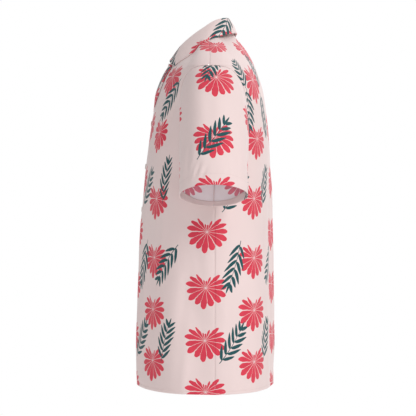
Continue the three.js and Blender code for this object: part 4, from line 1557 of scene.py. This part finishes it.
def button_mesh(settings):
    """A round four-hole button lying flat, with its back at the origin."""
    bm = bmesh.new()
    outline = [
        bm.verts.new((r * settings.radius, 0, h * settings.thickness)) for r, h in BUTTON_OUTLINE
    ]
    edges = [bm.edges.new(pair) for pair in zip(outline, outline[1:])]
    geom = outline + edges
    full_turn = 2 * math.pi
    bmesh.ops.spin(
        bm, geom=geom, cent=(0, 0, 0), axis=(0, 0, 1), angle=full_turn, steps=40, use_merge=True
    )
    bmesh.ops.remove_doubles(bm, verts=bm.verts, dist=1e-6)
    bmesh.ops.recalc_face_normals(bm, faces=bm.faces)
    cutter = bmesh.new()
    hole_radius = settings.hole_spacing * HOLE_RADIUS_SHARE
    for x, y in HOLE_PLACES:
        bmesh.ops.create_cone(
            cutter,
            cap_ends=True,
            segments=16,
            radius1=hole_radius,
            radius2=hole_radius,
            depth=settings.thickness * 4,
            matrix=Matrix.Translation(Vector((x, y, 0)) * settings.hole_spacing / 2),
        )
    blank = add_object("button blank", mesh_from("button blank", bm))
    drill = add_object("button drill", mesh_from("button drill", cutter))
    holes = blank.modifiers.new("holes", "BOOLEAN")
    holes.operation = "DIFFERENCE"
    holes.solver = "EXACT"
    holes.object = drill
    graph = bpy.context.evaluated_depsgraph_get()
    drilled = bpy.data.meshes.new_from_object(blank.evaluated_get(graph))
    for holder in (blank, drill):
        bpy.data.objects.remove(holder)
    return drilled


def add_stitch(bm, place, length, thickness):
    """One short stitch: a long bead lying along its own x axis."""
    size = Matrix.Diagonal((length / 2, thickness / 2, thickness / 2, 1))
    bmesh.ops.create_icosphere(bm, subdivisions=1, radius=1.0, matrix=place @ size)


def button_sewing(settings, seat):
    """Two bars of three threads between a button's holes."""
    bm = bmesh.new()
    lift = settings.thickness * 0.66 + THREAD_LIFT
    for side in (-1, 1):
        for layer in (-1, 0, 1):
            across = side * settings.hole_spacing / 2 + layer * THREAD_SPREAD
            bar = seat @ Matrix.Translation((across, 0, lift)) @ QUARTER_TURN
            add_stitch(bm, bar, settings.hole_spacing * 1.25, THREAD_THICKNESS)
    return bm


def buttonhole_sewing(settings, cloth):
    """Close stitches along both sides of a buttonhole, and a bar at each end."""
    bm = bmesh.new()
    half = settings.buttonhole / 2
    for side in (-1, 1):
        for along in np.linspace(-half, half, BUTTONHOLE_STITCHES):
            place = Matrix.Translation((side * BUTTONHOLE_HALF_WIDTH, along, 0))
            add_stitch(bm, cloth @ place, 0.0015, HOLE_STITCH_THICKNESS)
    for end in (-1, 1):
        for k in range(BAR_STITCHES):
            across = (k - BAR_STITCHES // 2) * BAR_PITCH
            place = Matrix.Translation((across, end * (half + 0.0003), 0)) @ QUARTER_TURN
            add_stitch(bm, cloth @ place, 0.0014, HOLE_STITCH_THICKNESS)
    return bm


class SHIRT_OT_buttons(bpy.types.Operator):
    """Make the buttons, their sewing and the buttonholes"""

    bl_idname = "shirt.buttons"
    bl_label = "Buttons"

    def execute(self, context):
        settings = context.scene.shirt_buttons
        shell = plain_material("button shell", settings.colour, 0.28, 0.10, 260.0)
        thread = thread_material(context)
        blank = button_mesh(settings)
        for index in range(settings.count):
            number = index + 1
            z = TOP_BUTTON_Z - BUTTON_PITCH * index
            seat = seat_on_front(z, BUTTON_SEAT)
            bm = bmesh.new()
            bm.from_mesh(blank)
            bmesh.ops.transform(bm, matrix=seat, verts=bm.verts)
            button = new_piece(f"button_{number}_shell", bm, shell)
            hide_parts(f"button_{number}")
            sewing = button_sewing(settings, seat)
            new_piece(f"button_{number}_thread", sewing, thread)
            hole = buttonhole_sewing(settings, seat_on_front(z, 0.12))
            new_piece(f"buttonhole_{number}", hole, thread)
        return {"FINISHED"}


def stitch_line(points, normals, pitch, length):
    """Evenly spaced stitches along a row of points, lying on the cloth."""
    bm = bmesh.new()
    along = unit(np.gradient(points, axis=0))
    travelled = run_lengths(points)
    for distance in np.arange(pitch / 2, travelled[-1], pitch):
        point, way, out = (
            Vector([np.interp(distance, travelled, values[:, k]) for k in range(3)])
            for values in (points, along, normals)
        )
        way.normalize()
        out = (out - way * out.dot(way)).normalized()
        place = Matrix((way, out.cross(way), out)).transposed().to_4x4()
        place.translation = (point + out * HEM_STITCH_LIFT) * MM
        add_stitch(bm, place, length * MM, HEM_STITCH_THICKNESS * MM)
    return bm


class SHIRT_OT_stitching(bpy.types.Operator):
    """Sew the hems of the body and the sleeves"""

    bl_idname = "shirt.stitching"
    bl_label = "Stitching"

    def execute(self, context):
        sewing = context.scene.shirt_sewing
        pitch, length = sewing.pitch / MM, sewing.length / MM
        sleeve = left_sleeve()
        thread = thread_material(context)
        for name, panel, edge, rise in (
            ("front_left", front_panel(1), HEM_EDGE, sewing.hem),
            ("front_right", front_panel(-1), HEM_EDGE, sewing.hem),
            ("back", back_panel(), HEM_EDGE, sewing.hem),
            ("sleeve_left", sleeve, SLEEVE_HEM_EDGE, sewing.sleeve_hem),
            ("sleeve_right", mirrored(*sleeve), SLEEVE_HEM_EDGE, sewing.sleeve_hem),
        ):
            points, cloth = panel
            up = cloth[len(edge) :, points.shape[1] // 2, 1]
            wanted = up[0] + rise / MM - ROW_BELOW_STITCHES
            row = len(edge) + int(np.argmin(np.abs(up - wanted)))
            inner = slice(SEAM_COLUMNS, -SEAM_COLUMNS)
            normals = grid_normals(points)
            line = stitch_line(points[row, inner], normals[row, inner], pitch, length)
            new_piece(name + "_hem_stitching", line, thread)
        return {"FINISHED"}


STEPS = (
    SHIRT_OT_stage,
    SHIRT_OT_body,
    SHIRT_OT_sleeves,
    SHIRT_OT_collar,
    SHIRT_OT_reveres,
    SHIRT_OT_buttons,
    SHIRT_OT_stitching,
)
GROUPS = (
    ("shirt_cloth", ShirtCloth),
    ("shirt_print", ShirtPrint),
    ("shirt_buttons", ShirtButtons),
    ("shirt_sewing", ShirtSewing),
    ("shirt_stage", ShirtStage),
)


class SHIRT_PT_panel(bpy.types.Panel):
    """Sizes, colours and pieces of the shirt"""

    bl_idname = "SHIRT_PT_panel"
    bl_label = "Hawaiian Shirt"
    bl_space_type = "VIEW_3D"
    bl_region_type = "UI"
    bl_category = "Shirt"

    def draw(self, context):
        for name, group in GROUPS:
            box = self.layout.box()
            for setting in group.__annotations__:
                box.prop(getattr(context.scene, name), setting)
        for step in STEPS:
            self.layout.operator(step.bl_idname)


def register():
    for name, group in GROUPS:
        bpy.utils.register_class(group)
        setattr(bpy.types.Scene, name, PointerProperty(type=group))
    for step in STEPS:
        bpy.utils.register_class(step)
    bpy.utils.register_class(SHIRT_PT_panel)


def unregister():
    bpy.utils.unregister_class(SHIRT_PT_panel)
    for step in reversed(STEPS):
        bpy.utils.unregister_class(step)
    for name, group in reversed(GROUPS):
        delattr(bpy.types.Scene, name)
        bpy.utils.unregister_class(group)


def main():
    register()
    for step in STEPS:
        category, name = step.bl_idname.split(".")
        getattr(getattr(bpy.ops, category), name)()


if __name__ == "__main__":
    main()
